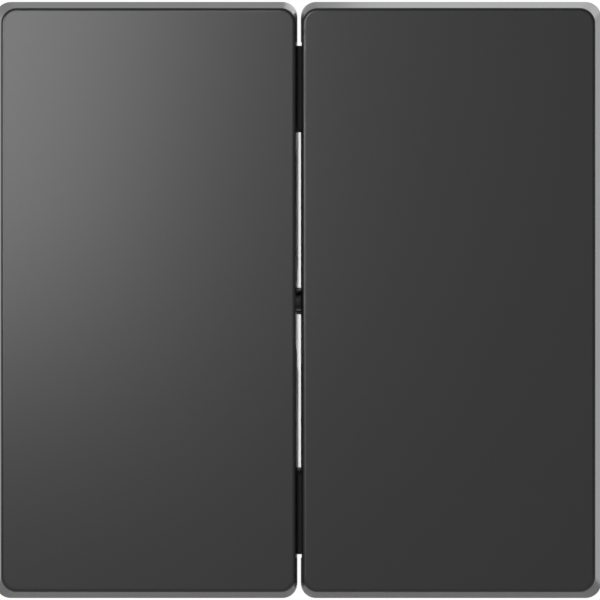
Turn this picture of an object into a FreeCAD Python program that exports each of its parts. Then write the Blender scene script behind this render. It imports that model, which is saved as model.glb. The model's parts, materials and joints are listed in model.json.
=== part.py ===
"""Two-gang large-format rocker wall switch: the pair of rockers and the flush insert that carries them.

+X points right, +Y points into the wall and +Z points up, in millimetres. The origin is the centre of the
support ring's back face, which lies on the wall. Each gang is a rocker clipped to a toggle on one common
axle. A sprung plunger in the toggle's stem tips a see-saw contact onto one of two travellers.
"""
import FreeCAD, Part
import math
import os
from types import SimpleNamespace

import Sketcher

SIZES = (
    ("pair_wide", 70.6, "width over both rockers at the back of the skirt"),
    ("rocker_tall", 69.4, "height of a rocker at the back of the skirt"),
    ("slit", 0.40, "gap between the two rockers behind the draft of their slit walls"),
    ("slit_shift", 0.11, "how far the slit lies right of the middle"),
    ("face_ahead", 11.4, "front face, ahead of the wall"),
    ("skirt_deep", 6.6, "depth of a rocker, face to back of skirt"),
    ("skin", 1.8, "thickness of a rocker's face"),
    ("wall", 1.9, "thickness of the skirt at its back"),
    ("draft", 0.80, "how far the skirt flares out from face to back"),
    ("slit_draft", 0.21, "how far the wall beside the slit flares out behind the face"),
    ("edge_round", 0.42, "rounding of the face's rim"),
    ("outer_round", 1.85, "skirt corner radius on the outer side"),
    ("inner_round", 1.75, "skirt corner radius beside the slit"),
    ("slit_wall", 0.75, "thickness of the wall beside the slit"),
    ("slit_wall_deep", 3.0, "depth of that wall in front of the centre rib, and of its draft"),
    ("relief_half", 5.0, "half length of the shallow relief in the left slit wall"),
    ("relief_taper", 1.7, "run-out at each end of the relief"),
    ("relief_deep", 0.02, "depth of the relief, from the wall's front edge"),
    ("tongue_start", 0.4, "near end of a light-trap tongue, beyond the hood's rib"),
    ("tongue_short", 5.1, "far end of a light-trap tongue, short of the rocker's end"),
    ("tongue_ahead", 5.0, "front of a tongue, ahead of the wall"),
    ("tongue_thick", 1.0, "thickness of a tongue"),
    ("tongue_reach", 1.2, "how far a tongue passes under the other rocker"),
    ("throw", 4, "degrees a rocker tips each way"),
    ("axle_ahead", 5.9, "axle's centre, ahead of the wall"),
    ("axle_wide", 2.7, "axle diameter"),
    ("running", 0.05, "radial clearance of a running fit"),
    ("sliding", 0.1, "clearance on each side of a sliding or dropped-in piece"),
    ("play", 0.4, "clearance round a moving piece that touches nothing"),
    ("bite", 0.2, "how deep one feature is set into the one that carries it"),
    ("stiffener", 1.0, "thickness of a rib or pad behind a rocker's face"),
    ("toggle_inner", 1.4, "toggle's edge beside the centre plane"),
    ("toggle_wide", 18.0, "toggle width"),
    ("toggle_half", 16.5, "half height of a toggle's plate"),
    ("toggle_thick", 1.4, "thickness of a toggle's plate"),
    ("toggle_seat", 0.3, "height of the pads between rocker and toggle"),
    ("hub_wide", 6.0, "outer diameter of a toggle's hub"),
    ("stem_wide", 6.0, "outer diameter of a toggle's stem"),
    ("stem_bore", 4.2, "bore of the stem"),
    ("stem_back", 4.0, "end of the stem, behind the wall face"),
    ("stem_floor", 0.85, "material between axle bore and stem bore"),
    ("web_thick", 1.0, "thickness of a toggle's web"),
    ("plate_round", 0.7, "corner radius of a toggle's plate"),
    ("clip_wide", 8.0, "width of a rocker's snap leg"),
    ("clip_thick", 1.2, "thickness of a snap leg"),
    ("clip_hook", 0.7, "how far a snap leg's hook reaches in"),
    ("tip_back", 7.9, "rounded end of the plunger, behind the wall face"),
    ("tip_wide", 3.0, "diameter of the plunger's rounded end"),
    ("plunger_back", 0.5, "blind end of the plunger, behind the wall face"),
    ("coil_wire", 0.4, "square wire of the plunger's spring"),
    ("coil_turns", 3.25, "turns of the plunger's spring"),
    ("ring_half", 34.4, "half width and half height of the support ring"),
    ("ring_thick", 1.0, "sheet of the support ring"),
    ("ring_corner", 9.0, "chamfer of the ring's corners"),
    ("fix_spacing", 60.0, "distance between opposite fixing slots"),
    ("fix_slot_long", 6.0, "length of a fixing slot"),
    ("fix_slot_wide", 4.0, "width of a fixing slot"),
    ("mark_wide", 2.0, "width of the marks that open the upper and lower slots to the ring's edge"),
    ("seat_deep", 0.2, "rebate in the ring's back that locates the socket"),
    ("bead_place", 28.8, "pressed bead, from the ring's middle"),
    ("bead_near", 5.5, "near end of a pressed bead"),
    ("bead_far", 20.0, "far end of a pressed bead"),
    ("bead_wide", 1.6, "width of a pressed bead"),
    ("bead_deep", 0.35, "how far a bead is pressed towards the front"),
    ("notch_place", 14.0, "notch in the ring's edge, from its middle"),
    ("notch_wide", 3.0, "width of a notch in the ring's edge"),
    ("notch_deep", 1.2, "depth of a notch in the ring's edge"),
    ("mouth_wide", 38.0, "width of the ring's opening"),
    ("mouth_tall", 36.0, "height of the ring's opening"),
    ("mouth_corner", 6.6, "chamfer of the opening's corners"),
    ("hood_half", 21.5, "half width and half height of the hood's plate"),
    ("hood_thick", 1.2, "thickness of the hood's plate"),
    ("rib_thick", 1.6, "thickness of the hood's centre rib"),
    ("rib_half", 19.5, "half length of the centre rib"),
    ("rib_ahead", 6.0, "front of the centre rib, ahead of the wall"),
    ("collar_thick", 0.8, "wall of the collar round a stem's window"),
    ("collar_tall", 0.6, "height of that collar"),
    ("cheek_thick", 1.6, "thickness of a side bearing cheek"),
    ("cheek_half", 3.6, "half height of a side bearing cheek"),
    ("snap_wide", 8.0, "width of a hood's snap leg"),
    ("snap_thick", 1.0, "thickness of a hood's snap leg"),
    ("snap_hook", 0.35, "how far a hood's hook reaches behind the ring"),
    ("socket_wide", 42.0, "width of the socket"),
    ("socket_tall", 40.0, "height of the socket"),
    ("socket_wall", 1.6, "thickness of the socket's outer walls"),
    ("socket_round", 3.5, "corner radius of the socket"),
    ("socket_edge", 0.6, "chamfer round the socket's back"),
    ("panel_deep", 0.5, "depth of the mould recesses in the socket's sides"),
    ("panel_from", 3.2, "front end of those recesses, behind the wall face"),
    ("panel_short", 2.4, "back end of those recesses, short of the socket's back"),
    ("panel_rib", 2.0, "rib left between two recesses"),
    ("floor_thick", 1.4, "floor between contact chambers and clamp cells"),
    ("cell_deep", 10.4, "depth of a clamp cell"),
    ("cell_wide", 8.0, "width of a clamp cell"),
    ("rivet_x", 17.6, "rivet, sideways from the middle"),
    ("rivet_z", 16.6, "rivet, up or down from the middle"),
    ("rivet_wide", 2.0, "rivet shank diameter"),
    ("rivet_head", 3.6, "rivet head diameter"),
    ("rivet_head_thick", 0.6, "rivet head height"),
    ("rivet_deep", 8.0, "end of the rivet, behind the wall face"),
    ("seesaw_gap", 0.1, "plunger to see-saw contact at rest"),
    ("seesaw_thick", 0.8, "see-saw contact's sheet"),
    ("seesaw_wide", 6.0, "width of the see-saw contact"),
    ("seesaw_half", 9.3, "half length of the see-saw contact"),
    ("seesaw_throw", 8, "degrees the see-saw contact tips each way"),
    ("knife_thick", 0.7, "sheet of the common terminal, which ends in the pivot edge"),
    ("contact_z", 7.6, "contact tips, up or down from the pivot"),
    ("contact_wide", 3.0, "diameter of a contact tip"),
    ("contact_thick", 0.9, "height of a moving contact tip"),
    ("contact_bevel", 0.45, "how far a contact tip's head tapers in"),
    ("contact_shank", 1.6, "diameter of a contact tip's riveted shank"),
    ("contact_air", 0.06, "left between closed contacts at the end of the throw"),
    ("fixed_thick", 0.5, "height of a fixed contact tip"),
    ("strip_thick", 0.8, "sheet of a traveller terminal"),
    ("strip_wide", 5.0, "width of a terminal in the contact chamber"),
    ("tail_wide", 7.0, "width of a terminal in its clamp cell"),
    ("tail_short", 1.6, "terminal's end, short of the cell's mouth"),
    ("cell_web", 2.45, "wall between neighbouring clamp cells"),
    ("clamp_thick", 0.4, "clamp spring's sheet"),
    ("clamp_rise", 6.6, "clamp spring's fixed leg, from the terminal's tail"),
    ("clamp_bend", 1.0, "clamp spring's bend radius"),
    ("wire_bore", 3.6, "wire entry diameter"),
    ("wire_shift", 1.9, "wire entry, sideways from the middle of its cell"),
    ("cap_thick", 2.4, "thickness of a terminal cap"),
    ("cap_plug", 1.1, "how far a terminal cap reaches into its cell"),
    ("cap_rim", 0.8, "how far a terminal cap covers the wall round its cell"),
    ("lever_wide", 2.6, "width of a release lever"),
    ("lever_tall", 2.0, "height of a release lever"),
    ("lever_proud", 0.8, "how far a release lever stands out of its cap"),
    ("lever_slot", 0.6, "width and depth of the blade slot in a release lever"),
    ("lever_lip", 0.5, "lip that keeps a release lever in"),
    ("lever_travel", 1.3, "release lever's travel"),
)

PLANES = {"x": ("YZ_Plane", 1), "y": ("XZ_Plane", -1), "z": ("XY_Plane", 1)}
SIDES = (("left", -1), ("right", 1))
ENDS = (("top", 1), ("bottom", -1))
ROLES = ("top", "common", "bottom")


class Dim:
    """A size that carries both its value and the sheet expression that gives it."""

    def __init__(self, value, text):
        self.value = float(value)
        self.text = text

    def __add__(self, other):
        return Dim(self.value + number(other), f"({self.text} + {text_of(other)})")

    def __sub__(self, other):
        return Dim(self.value - number(other), f"({self.text} - {text_of(other)})")

    def __mul__(self, other):
        return Dim(self.value * number(other), f"({self.text} * {text_of(other)})")

    def __truediv__(self, other):
        return Dim(self.value / number(other), f"({self.text} / {text_of(other)})")

    def __rsub__(self, other):
        return Dim(number(other) - self.value, f"({text_of(other)} - {self.text})")

    def __neg__(self):
        return Dim(-self.value, f"(0 - {self.text})")

    __radd__ = __add__
    __rmul__ = __mul__


def number(size):
    """The value of a Dim or of a plain number."""
    return size.value if isinstance(size, Dim) else float(size)


def text_of(size):
    """The expression of a Dim, or a plain number as text."""
    return size.text if isinstance(size, Dim) else f"{float(size)}"


def sine(angle):
    """Sine of an angle in degrees."""
    return Dim(math.sin(math.radians(angle.value)), f"sin({angle.text} * 1 deg)")


def cosine(angle):
    """Cosine of an angle in degrees."""
    return Dim(math.cos(math.radians(angle.value)), f"cos({angle.text} * 1 deg)")


def make_sheet(doc):
    """Fill the sheet with the driving dimensions and return them as Dims by name."""
    sheet = doc.addObject("Spreadsheet::Sheet", "Sizes")
    for row, (alias, value, meaning) in enumerate(SIZES, start=1):
        sheet.set(f"A{row}", meaning)
        sheet.set(f"B{row}", str(value))
        sheet.setAlias(f"B{row}", alias)
    doc.recompute()
    return SimpleNamespace(**{alias: Dim(sheet.get(alias), f"Sizes.{alias}") for alias, _, _ in SIZES})


def bind(thing, prop, size):
    """Tie a property to the sheet."""
    thing.setExpression(prop, text_of(size))


# ---- sketch shapes: each returns a function that draws itself on a sketch


def pin_point(sketch, geometry, vertex, x, y):
    """Fix a sketch point at x, y from the sketch's origin."""
    for kind, size in (("DistanceX", x), ("DistanceY", y)):
        which = sketch.addConstraint(Sketcher.Constraint(kind, -1, 1, geometry, vertex, number(size)))
        bind(sketch, f"Constraints[{which}]", size)


def set_radius(sketch, geometry, radius):
    """Fix the radius of a circle or an arc."""
    which = sketch.addConstraint(Sketcher.Constraint("Radius", geometry, number(radius)))
    bind(sketch, f"Constraints[{which}]", radius)


def disc(x, y, radius):
    """A full circle."""

    def draw(sketch):
        centre = FreeCAD.Vector(number(x), number(y), 0)
        circle = sketch.addGeometry(Part.Circle(centre, FreeCAD.Vector(0, 0, 1), number(radius)), False)
        pin_point(sketch, circle, 3, x, y)
        set_radius(sketch, circle, radius)

    return draw


def bearing_of(centre, point):
    """Direction of a point from a centre, in radians."""
    return math.atan2(point.y - centre.y, point.x - centre.x)


def corner_arc(before, corner, after, radius):
    """The arc that rounds a corner: where it starts and ends, its shape, and its vertices in that order."""
    if not number(radius):
        return SimpleNamespace(start=corner, end=corner)
    back = (before - corner).normalize()
    ahead = (after - corner).normalize()
    half_angle = back.getAngle(ahead) / 2
    run = number(radius) / math.tan(half_angle)
    centre = corner + (back + ahead).normalize() * (number(radius) / math.sin(half_angle))
    start = corner + back * run
    end = corner + ahead * run
    turns_left = ahead.cross(back).z > 0
    first, last = (start, end) if turns_left else (end, start)
    circle = Part.Circle(centre, FreeCAD.Vector(0, 0, 1), number(radius))
    shape = Part.ArcOfCircle(circle, bearing_of(centre, first), bearing_of(centre, last))
    return SimpleNamespace(start=start, end=end, shape=shape, vertices=(1, 2) if turns_left else (2, 1))


def round_corner(sketch, arc, incoming, outgoing, corner, sharp_point):
    """Draw a corner's arc between two lines and tie it to the sharp corner and the radius."""
    x, y, radius = corner
    drawn = sketch.addGeometry(arc.shape, False)
    sketch.addConstraint(Sketcher.Constraint("Tangent", incoming, 2, drawn, arc.vertices[0]))
    sketch.addConstraint(Sketcher.Constraint("Tangent", drawn, arc.vertices[1], outgoing, 1))
    set_radius(sketch, drawn, radius)
    sharp = sketch.addGeometry(Part.Point(sharp_point), True)
    sketch.addConstraint(Sketcher.Constraint("PointOnObject", sharp, 1, incoming))
    sketch.addConstraint(Sketcher.Constraint("PointOnObject", sharp, 1, outgoing))
    pin_point(sketch, sharp, 1, x, y)


def with_radius(corners):
    """Corners as (x, y, radius), with no radius where none is given."""
    return [corner if len(corner) == 3 else (*corner, 0) for corner in corners]


def outline(*corners):
    """A closed outline through corners given as (x, y) or (x, y, radius)."""

    def draw(sketch):
        corner_list = with_radius(corners)
        points = [FreeCAD.Vector(number(x), number(y), 0) for x, y, _ in corner_list]
        count = len(points)
        arcs = [
            corner_arc(points[i - 1], points[i], points[(i + 1) % count], corner_list[i][2])
            for i in range(count)
        ]
        lines = [
            sketch.addGeometry(Part.LineSegment(arcs[i].end, arcs[(i + 1) % count].start), False)
            for i in range(count)
        ]
        for i, (x, y, radius) in enumerate(corner_list):
            if number(radius):
                round_corner(sketch, arcs[i], lines[i - 1], lines[i], corner_list[i], points[i])
            else:
                sketch.addConstraint(Sketcher.Constraint("Coincident", lines[i - 1], 2, lines[i], 1))
                pin_point(sketch, lines[i], 1, x, y)

    return draw


def rectangle(x_span, y_span, radius=0):
    """A rectangle with all corners alike."""
    return outline(
        (x_span[0], y_span[0], radius),
        (x_span[1], y_span[0], radius),
        (x_span[1], y_span[1], radius),
        (x_span[0], y_span[1], radius),
    )


def octagon(half_x, half_y, chamfer):
    """A rectangle about the origin with its four corners cut off."""
    return outline(
        (chamfer - half_x, -half_y),
        (half_x - chamfer, -half_y),
        (half_x, chamfer - half_y),
        (half_x, half_y - chamfer),
        (half_x - chamfer, half_y),
        (chamfer - half_x, half_y),
        (-half_x, half_y - chamfer),
        (-half_x, chamfer - half_y),
    )


def slot(x, y, length, width, upright):
    """A slot with round ends, lying along the sketch's X axis or upright."""

    def draw(sketch):
        radius = width / 2
        run = (length - width) / 2
        quarter = math.pi / 2 if upright else 0
        ends = [(x, y + run * way) if upright else (x + run * way, y) for way in (1, -1)]
        arcs = []
        for (end_x, end_y), facing in zip(ends, (quarter, quarter + math.pi)):
            centre = FreeCAD.Vector(number(end_x), number(end_y), 0)
            circle = Part.Circle(centre, FreeCAD.Vector(0, 0, 1), number(radius))
            shape = Part.ArcOfCircle(circle, facing - math.pi / 2, facing + math.pi / 2)
            arcs.append(sketch.addGeometry(shape, False))
            pin_point(sketch, arcs[-1], 3, end_x, end_y)
        set_radius(sketch, arcs[0], radius)
        sketch.addConstraint(Sketcher.Constraint("Equal", arcs[0], arcs[1]))
        for start, end in ((arcs[0], arcs[1]), (arcs[1], arcs[0])):
            ends_of_line = sketch.Geometry[start].EndPoint, sketch.Geometry[end].StartPoint
            line = sketch.addGeometry(Part.LineSegment(*ends_of_line), False)
            sketch.addConstraint(Sketcher.Constraint("Tangent", start, 2, line, 1))
            sketch.addConstraint(Sketcher.Constraint("Tangent", line, 2, end, 1))

    return draw


def polyline(*corners):
    """An open run of straight stretches through corners given as (x, y) or (x, y, radius)."""

    def draw(sketch):
        corner_list = with_radius(corners)
        points = [FreeCAD.Vector(number(x), number(y), 0) for x, y, _ in corner_list]
        last = len(points) - 1
        arcs = [SimpleNamespace(end=points[0])]
        arcs += [
            corner_arc(points[i - 1], points[i], points[i + 1], corner_list[i][2]) for i in range(1, last)
        ]
        arcs += [SimpleNamespace(start=points[last])]
        lines = [
            sketch.addGeometry(Part.LineSegment(arcs[i].end, arcs[i + 1].start), False) for i in range(last)
        ]
        pin_point(sketch, lines[0], 1, *corner_list[0][:2])
        pin_point(sketch, lines[-1], 2, *corner_list[-1][:2])
        for i in range(1, last):
            round_corner(sketch, arcs[i], lines[i - 1], lines[i], corner_list[i], points[i])

    return draw


# ---- features


def new_body(doc, label):
    """A PartDesign body whose label names its file."""
    body = doc.addObject("PartDesign::Body", label)
    body.Label = label
    return body


def new_sketch(body, name, axis, at, shapes):
    """A sketch square to an axis, at a distance along it, with its shapes drawn."""
    role, way = PLANES[axis]
    sketch = body.newObject("Sketcher::SketchObject", f"{body.Name}_{name}_sketch")
    plane = next(feature for feature in body.Origin.OriginFeatures if feature.Role == role)
    sketch.AttachmentSupport = (plane, [""])
    sketch.MapMode = "FlatFace"
    bind(sketch, "AttachmentOffset.Base.z", at * way)
    for draw in shapes:
        draw(sketch)
    return sketch


def extrusion(body, kind, name, axis, span, shapes):
    """A Pad or a Pocket that fills its span along the axis."""
    start = span[0] if PLANES[axis][1] > 0 else span[1]
    sketch = new_sketch(body, name, axis, start + Dim(0, "0"), shapes)
    feature = body.newObject(f"PartDesign::{kind}", f"{body.Name}_{name}")
    feature.Profile = sketch
    bind(feature, "Length", span[1] - span[0] + Dim(0, "0"))
    return feature


def pad(body, name, axis, span, *shapes):
    """Add material over a span along an axis."""
    return extrusion(body, "Pad", name, axis, span, shapes)


def cut(body, name, axis, span, *shapes):
    """Take material away over a span along an axis, and insist that some was there."""
    body.Document.recompute()
    before = body.Shape.Volume
    feature = extrusion(body, "Pocket", name, axis, span, shapes)
    feature.Reversed = True
    body.Document.recompute()
    if body.Shape.Volume > before - 1e-4:
        raise RuntimeError(f"{feature.Name} cuts nothing")
    return feature


def turn(body, name, *shapes):
    """Revolve a profile of (radius, y) about the body's own Y axis."""
    sketch = new_sketch(body, name, "z", Dim(0, "0"), shapes)
    feature = body.newObject("PartDesign::Revolution", f"{body.Name}_{name}")
    feature.Profile = sketch
    feature.ReferenceAxis = (sketch, ["V_Axis"])
    feature.Angle = 360
    return feature


def ease_edges(body, kind, name, size, wanted):
    """Add a Fillet or a Chamfer on the edges of the body so far that the test picks."""
    body.Document.recompute()
    base = body.Tip
    picked = [f"Edge{i}" for i, edge in enumerate(base.Shape.Edges, start=1) if wanted(edge.BoundBox)]
    if not picked:
        raise RuntimeError(f"{body.Name}: no edge for {name}")
    feature = body.newObject(f"PartDesign::{kind}", f"{body.Name}_{name}")
    feature.Base = (base, picked)
    bind(feature, "Radius" if kind == "Fillet" else "Size", size)
    return feature


def lies_at(low, high, place):
    """Whether a stretch from low to high is flat at a place."""
    return abs(low - number(place)) < 1e-4 and abs(high - number(place)) < 1e-4


def put(body, x=0, z=0):
    """Move a finished body sideways or up, tied to the sheet."""
    if isinstance(x, Dim):
        bind(body, "Placement.Base.x", x)
    if isinstance(z, Dim):
        bind(body, "Placement.Base.z", z)


def around(centre, half):
    """The span half either side of a centre."""
    return centre - half, centre + half


def sided(side, near, far):
    """A span from near to far on one side of the centre plane, low end first."""
    return (near, far) if side > 0 else (-far, -near)


# ---- places that several pieces share


def derive(d):
    """Add the places that more than one piece works from."""
    zero = Dim(0, "0")
    d.zero = zero
    d.half_wide = d.pair_wide / 2
    d.half_tall = d.rocker_tall / 2
    d.face_y = -d.face_ahead
    d.skirt_y = d.skirt_deep - d.face_ahead
    d.skin_y = d.skin - d.face_ahead
    d.slit_edge = {side: d.slit / 2 + d.slit_shift * side for _, side in SIDES}
    d.slit_front = {side: edge + d.slit_draft for side, edge in d.slit_edge.items()}
    d.slit_wall_in = {side: front + d.slit_wall for side, front in d.slit_front.items()}
    d.draft_y = d.face_y + d.slit_wall_deep
    d.tongue_from = d.rib_half + d.tongue_start
    d.tongue_to = d.half_tall - d.tongue_short
    d.tongue_y = d.tongue_thick - d.tongue_ahead
    d.gang_x = d.toggle_inner + d.toggle_wide / 2
    d.toggle_out = d.toggle_inner + d.toggle_wide
    d.toggle_face = d.skin_y + d.toggle_seat
    d.toggle_y = d.toggle_face + d.toggle_thick
    d.bore_end = d.axle_wide / 2 + d.running + d.stem_floor - d.axle_ahead
    d.stem_swing = d.stem_wide / 2 + (d.stem_back + d.axle_ahead) * sine(d.throw)
    d.ring_y = -d.ring_thick
    d.seat_y = -d.seat_deep
    d.hood_y = d.ring_y - d.hood_thick
    d.cheek_in = d.toggle_out + d.play * 1.5
    d.cheek_out = d.cheek_in + d.cheek_thick
    d.seesaw_y = d.tip_back + d.seesaw_gap
    d.pivot_y = d.seesaw_y + d.seesaw_thick
    d.tip_corner = d.contact_z + d.contact_wide / 2 - d.contact_bevel
    d.tip_reach = d.contact_thick * cosine(d.seesaw_throw) + d.tip_corner * sine(d.seesaw_throw)
    d.fixed_y = d.pivot_y + d.tip_reach + d.contact_air
    d.strip_y = d.fixed_y + d.fixed_thick
    d.floor_y = d.strip_y + d.strip_thick
    d.cell_y = d.floor_y + d.floor_thick
    d.socket_y = d.cell_y + d.cell_deep
    d.tail_y = d.socket_y - d.tail_short
    d.plug_y = d.socket_y - d.cap_plug
    d.cap_y = d.socket_y + d.cap_thick
    d.cell_rise = d.clamp_rise + d.clamp_thick + d.sliding
    d.traveller_z = d.knife_thick / 2 + d.cell_rise * 2 + d.cell_web
    return d


# ---- rockers


def rocker(doc, d, name, side):
    """One rocker: a flat face with a drafted skirt on three sides, hollow behind, with its snap legs."""
    body = new_body(doc, f"{name}_rocker")
    inner = d.slit_edge[side] * side
    wall_in = d.slit_wall_in[side] * side
    outer = d.half_wide * side

    def rim(y, inset, slit_inset):
        near = inner + slit_inset * side
        far = outer - inset * side
        high = d.half_tall - inset
        corners = (
            (near, -high, d.inner_round),
            (far, -high, d.outer_round),
            (far, high, d.outer_round),
            (near, high, d.inner_round),
        )
        return new_sketch(body, f"rim_{len(body.Group)}", "y", y, [outline(*corners)])

    shell = body.newObject("PartDesign::AdditiveLoft", f"{body.Name}_shell")
    back_rim = rim(d.skirt_y, d.zero, d.zero)
    middle_rim = rim(d.draft_y, d.draft * (1 - d.slit_wall_deep / d.skirt_deep), d.zero)
    face_rim = rim(d.face_y, d.draft, d.slit_draft)
    shell.Profile = back_rim
    shell.Sections = [middle_rim, face_rim]
    shell.Ruled = True
    ease_edges(body, "Fillet", "face_edge", d.edge_round, lambda box: lies_at(box.YMin, box.YMax, d.face_y))
    cut(
        body, "hollow", "y", (d.skin_y, d.skirt_y),
        outline(
            (wall_in, d.wall - d.half_tall),
            (outer - d.wall * side, d.wall - d.half_tall, d.outer_round / 3),
            (outer - d.wall * side, d.half_tall - d.wall, d.outer_round / 3),
            (wall_in, d.half_tall - d.wall),
        ),
    )
    open_slit_wall(body, d, side)
    if side < 0:
        tongues(body, d)
        relief(body, d)
    stiffeners(body, d, side)
    snap_legs(body, d, side)
    return body


def open_slit_wall(body, d, side):
    """Shorten the slit wall in front of the centre rib and clear of the other rocker's tongues."""
    past = sided(side, -d.slit_edge[-side], d.slit_wall_in[side])
    short_half = d.tongue_from if side < 0 else d.tongue_from - d.play
    cut(body, "rib_room", "y", (d.draft_y, d.skirt_y), rectangle(past, around(d.zero, short_half)))
    if side > 0:
        for end, way in ENDS:
            room = sorted((way * (d.tongue_from - d.play), way * (d.tongue_to + d.play)), key=number)
            cut(body, f"tongue_room_{end}", "y", (d.skin_y, d.skirt_y), rectangle(past, room))


def tongues(body, d):
    """The two light-trap tongues that reach behind the other rocker."""
    root = -d.slit_wall_in[-1]
    for end, way in ENDS:
        room = sorted((way * d.tongue_from, way * d.tongue_to), key=number)
        pad(body, f"tongue_web_{end}", "y", (d.skin_y, d.tongue_y),
            rectangle((root, -d.slit_front[-1]), room))
        pad(body, f"tongue_{end}", "y", (-d.tongue_ahead, d.tongue_y),
            rectangle((root, d.slit_edge[1] + d.tongue_reach), room))


def relief(body, d):
    """The shallow relief half way along the left rocker's slit wall."""
    long_half = d.relief_half + d.relief_taper
    bottom = -d.slit_front[-1] - d.relief_deep
    cut(
        body, "relief", "y", (d.face_y, d.draft_y),
        outline(
            (d.zero, -long_half),
            (d.zero, long_half),
            (bottom, d.relief_half),
            (bottom, -d.relief_half),
        ),
    )


def stiffeners(body, d, side):
    """Ribs behind the face: two upright, one across each end, and the pads that the toggle seats on."""
    half = d.stiffener / 2
    rib_y = (d.skin_y - d.bite, d.skin_y + d.skin)
    for row, share in enumerate((0.25, 0.6), start=1):
        place = (d.toggle_out + (d.half_wide - d.wall - d.toggle_out) * share) * side
        pad(body, f"rib_{row}", "y", rib_y,
            rectangle(around(place, half), around(d.zero, d.half_tall - d.wall - d.skin)))
    leg_end = d.toggle_half + d.running + d.clip_thick
    place = leg_end + (d.half_tall - d.wall - leg_end) / 2
    across = sided(side, d.slit_edge[1] + d.tongue_reach + d.play, d.half_wide - d.wall - d.skin)
    for end, way in ENDS:
        pad(body, f"cross_rib_{end}", "y", rib_y, rectangle(across, around(place * way, half)))
    seat_y = (d.skin_y - d.bite, d.toggle_face)
    for row, share in enumerate((-0.3, 0.3), start=1):
        pad(body, f"seat_{row}", "y", seat_y,
            rectangle(around((d.gang_x + d.toggle_wide * share) * side, half),
                      around(d.zero, d.toggle_half - d.skin)))


def snap_legs(body, d, side):
    """The two hooked legs that grip the toggle's plate at top and bottom."""
    width = around(d.gang_x * side, d.clip_wide / 2)
    near = d.toggle_half + d.running
    hook_y = d.toggle_y + d.running
    for end, way in ENDS:
        pad(
            body, f"leg_{end}", "x", width,
            outline(
                (d.skin_y - d.bite, way * near),
                (hook_y, way * near),
                (hook_y, way * (near - d.clip_hook)),
                (hook_y + d.clip_hook, way * near),
                (hook_y + d.clip_hook, way * (near + d.clip_thick)),
                (d.skin_y - d.bite, way * (near + d.clip_thick)),
            ),
        )


# ---- toggles, plungers and axle


def toggle(doc, d, name, side):
    """The toggle under a rocker: plate, hub on the axle, webs and the hollow stem."""
    body = new_body(doc, f"{name}_toggle")
    width = sided(side, d.toggle_inner, d.toggle_out)
    pad(body, "plate", "y", (d.toggle_face, d.toggle_y),
        rectangle(width, around(d.zero, d.toggle_half), d.plate_round))
    pad(body, "hub", "x", width, disc(-d.axle_ahead, d.zero, d.hub_wide / 2))
    web_end = d.toggle_half - d.skin
    for row, start in enumerate((width[0], width[1] - d.web_thick), start=1):
        pad(
            body, f"web_{row}", "x", (start, start + d.web_thick),
            outline(
                (d.toggle_y - d.bite, -web_end),
                (d.toggle_y - d.bite, web_end),
                (d.toggle_y + d.bite * 3, web_end),
                (d.hub_wide / 4 - d.axle_ahead, d.hub_wide / 4),
                (d.hub_wide / 4 - d.axle_ahead, -d.hub_wide / 4),
                (d.toggle_y + d.bite * 3, -web_end),
            ),
        )
    pad(body, "stem", "y", (-d.axle_ahead, d.stem_back), disc(d.gang_x * side, d.zero, d.stem_wide / 2))
    cut(body, "axle_bore", "x", width, disc(-d.axle_ahead, d.zero, d.axle_wide / 2 + d.running))
    cut(body, "stem_bore", "y", (d.bore_end, d.stem_back), disc(d.gang_x * side, d.zero, d.stem_bore / 2))
    return body


def plunger(doc, d, name, side):
    """The sprung plunger that rides on the see-saw contact."""
    body = new_body(doc, f"{name}_plunger")
    rod = d.stem_bore / 2 - d.running
    tip = d.tip_wide / 2
    shoulder = d.tip_back - d.tip_wide * 0.75
    turn(
        body, "rod",
        outline(
            (d.zero, d.plunger_back),
            (rod, d.plunger_back),
            (rod, shoulder - (rod - tip)),
            (tip, shoulder),
            (tip, d.tip_back, tip * 0.97),
            (d.zero, d.tip_back),
        ),
    )
    put(body, x=d.gang_x * side)
    return body


def plunger_spring(doc, d, name, side):
    """The coil spring between the stem's blind end and the plunger."""
    body = new_body(doc, f"{name}_plunger_spring")
    wire = d.coil_wire / 2
    start = d.bore_end + wire + d.running
    end = d.plunger_back - wire - d.running
    ring = d.stem_bore / 2 - wire - d.sliding
    sketch = new_sketch(body, "wire", "z", d.zero, [rectangle(around(ring, wire), around(start, wire))])
    coil = body.newObject("PartDesign::AdditiveHelix", f"{body.Name}_coil")
    coil.Profile = sketch
    coil.ReferenceAxis = (sketch, ["V_Axis"])
    coil.Mode = "height-turns-angle"
    bind(coil, "Height", end - start)
    bind(coil, "Turns", d.coil_turns)
    put(body, x=d.gang_x * side)
    return body


def axle(doc, d):
    """The steel axle across both gangs."""
    body = new_body(doc, "axle")
    pad(body, "pin", "x", around(d.zero, d.cheek_out), disc(-d.axle_ahead, d.zero, d.axle_wide / 2))
    ease_edges(body, "Chamfer", "ends", d.axle_wide / 9, lambda box: box.XLength < 1e-4)
    return body


# ---- support ring, hood and rivets


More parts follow.
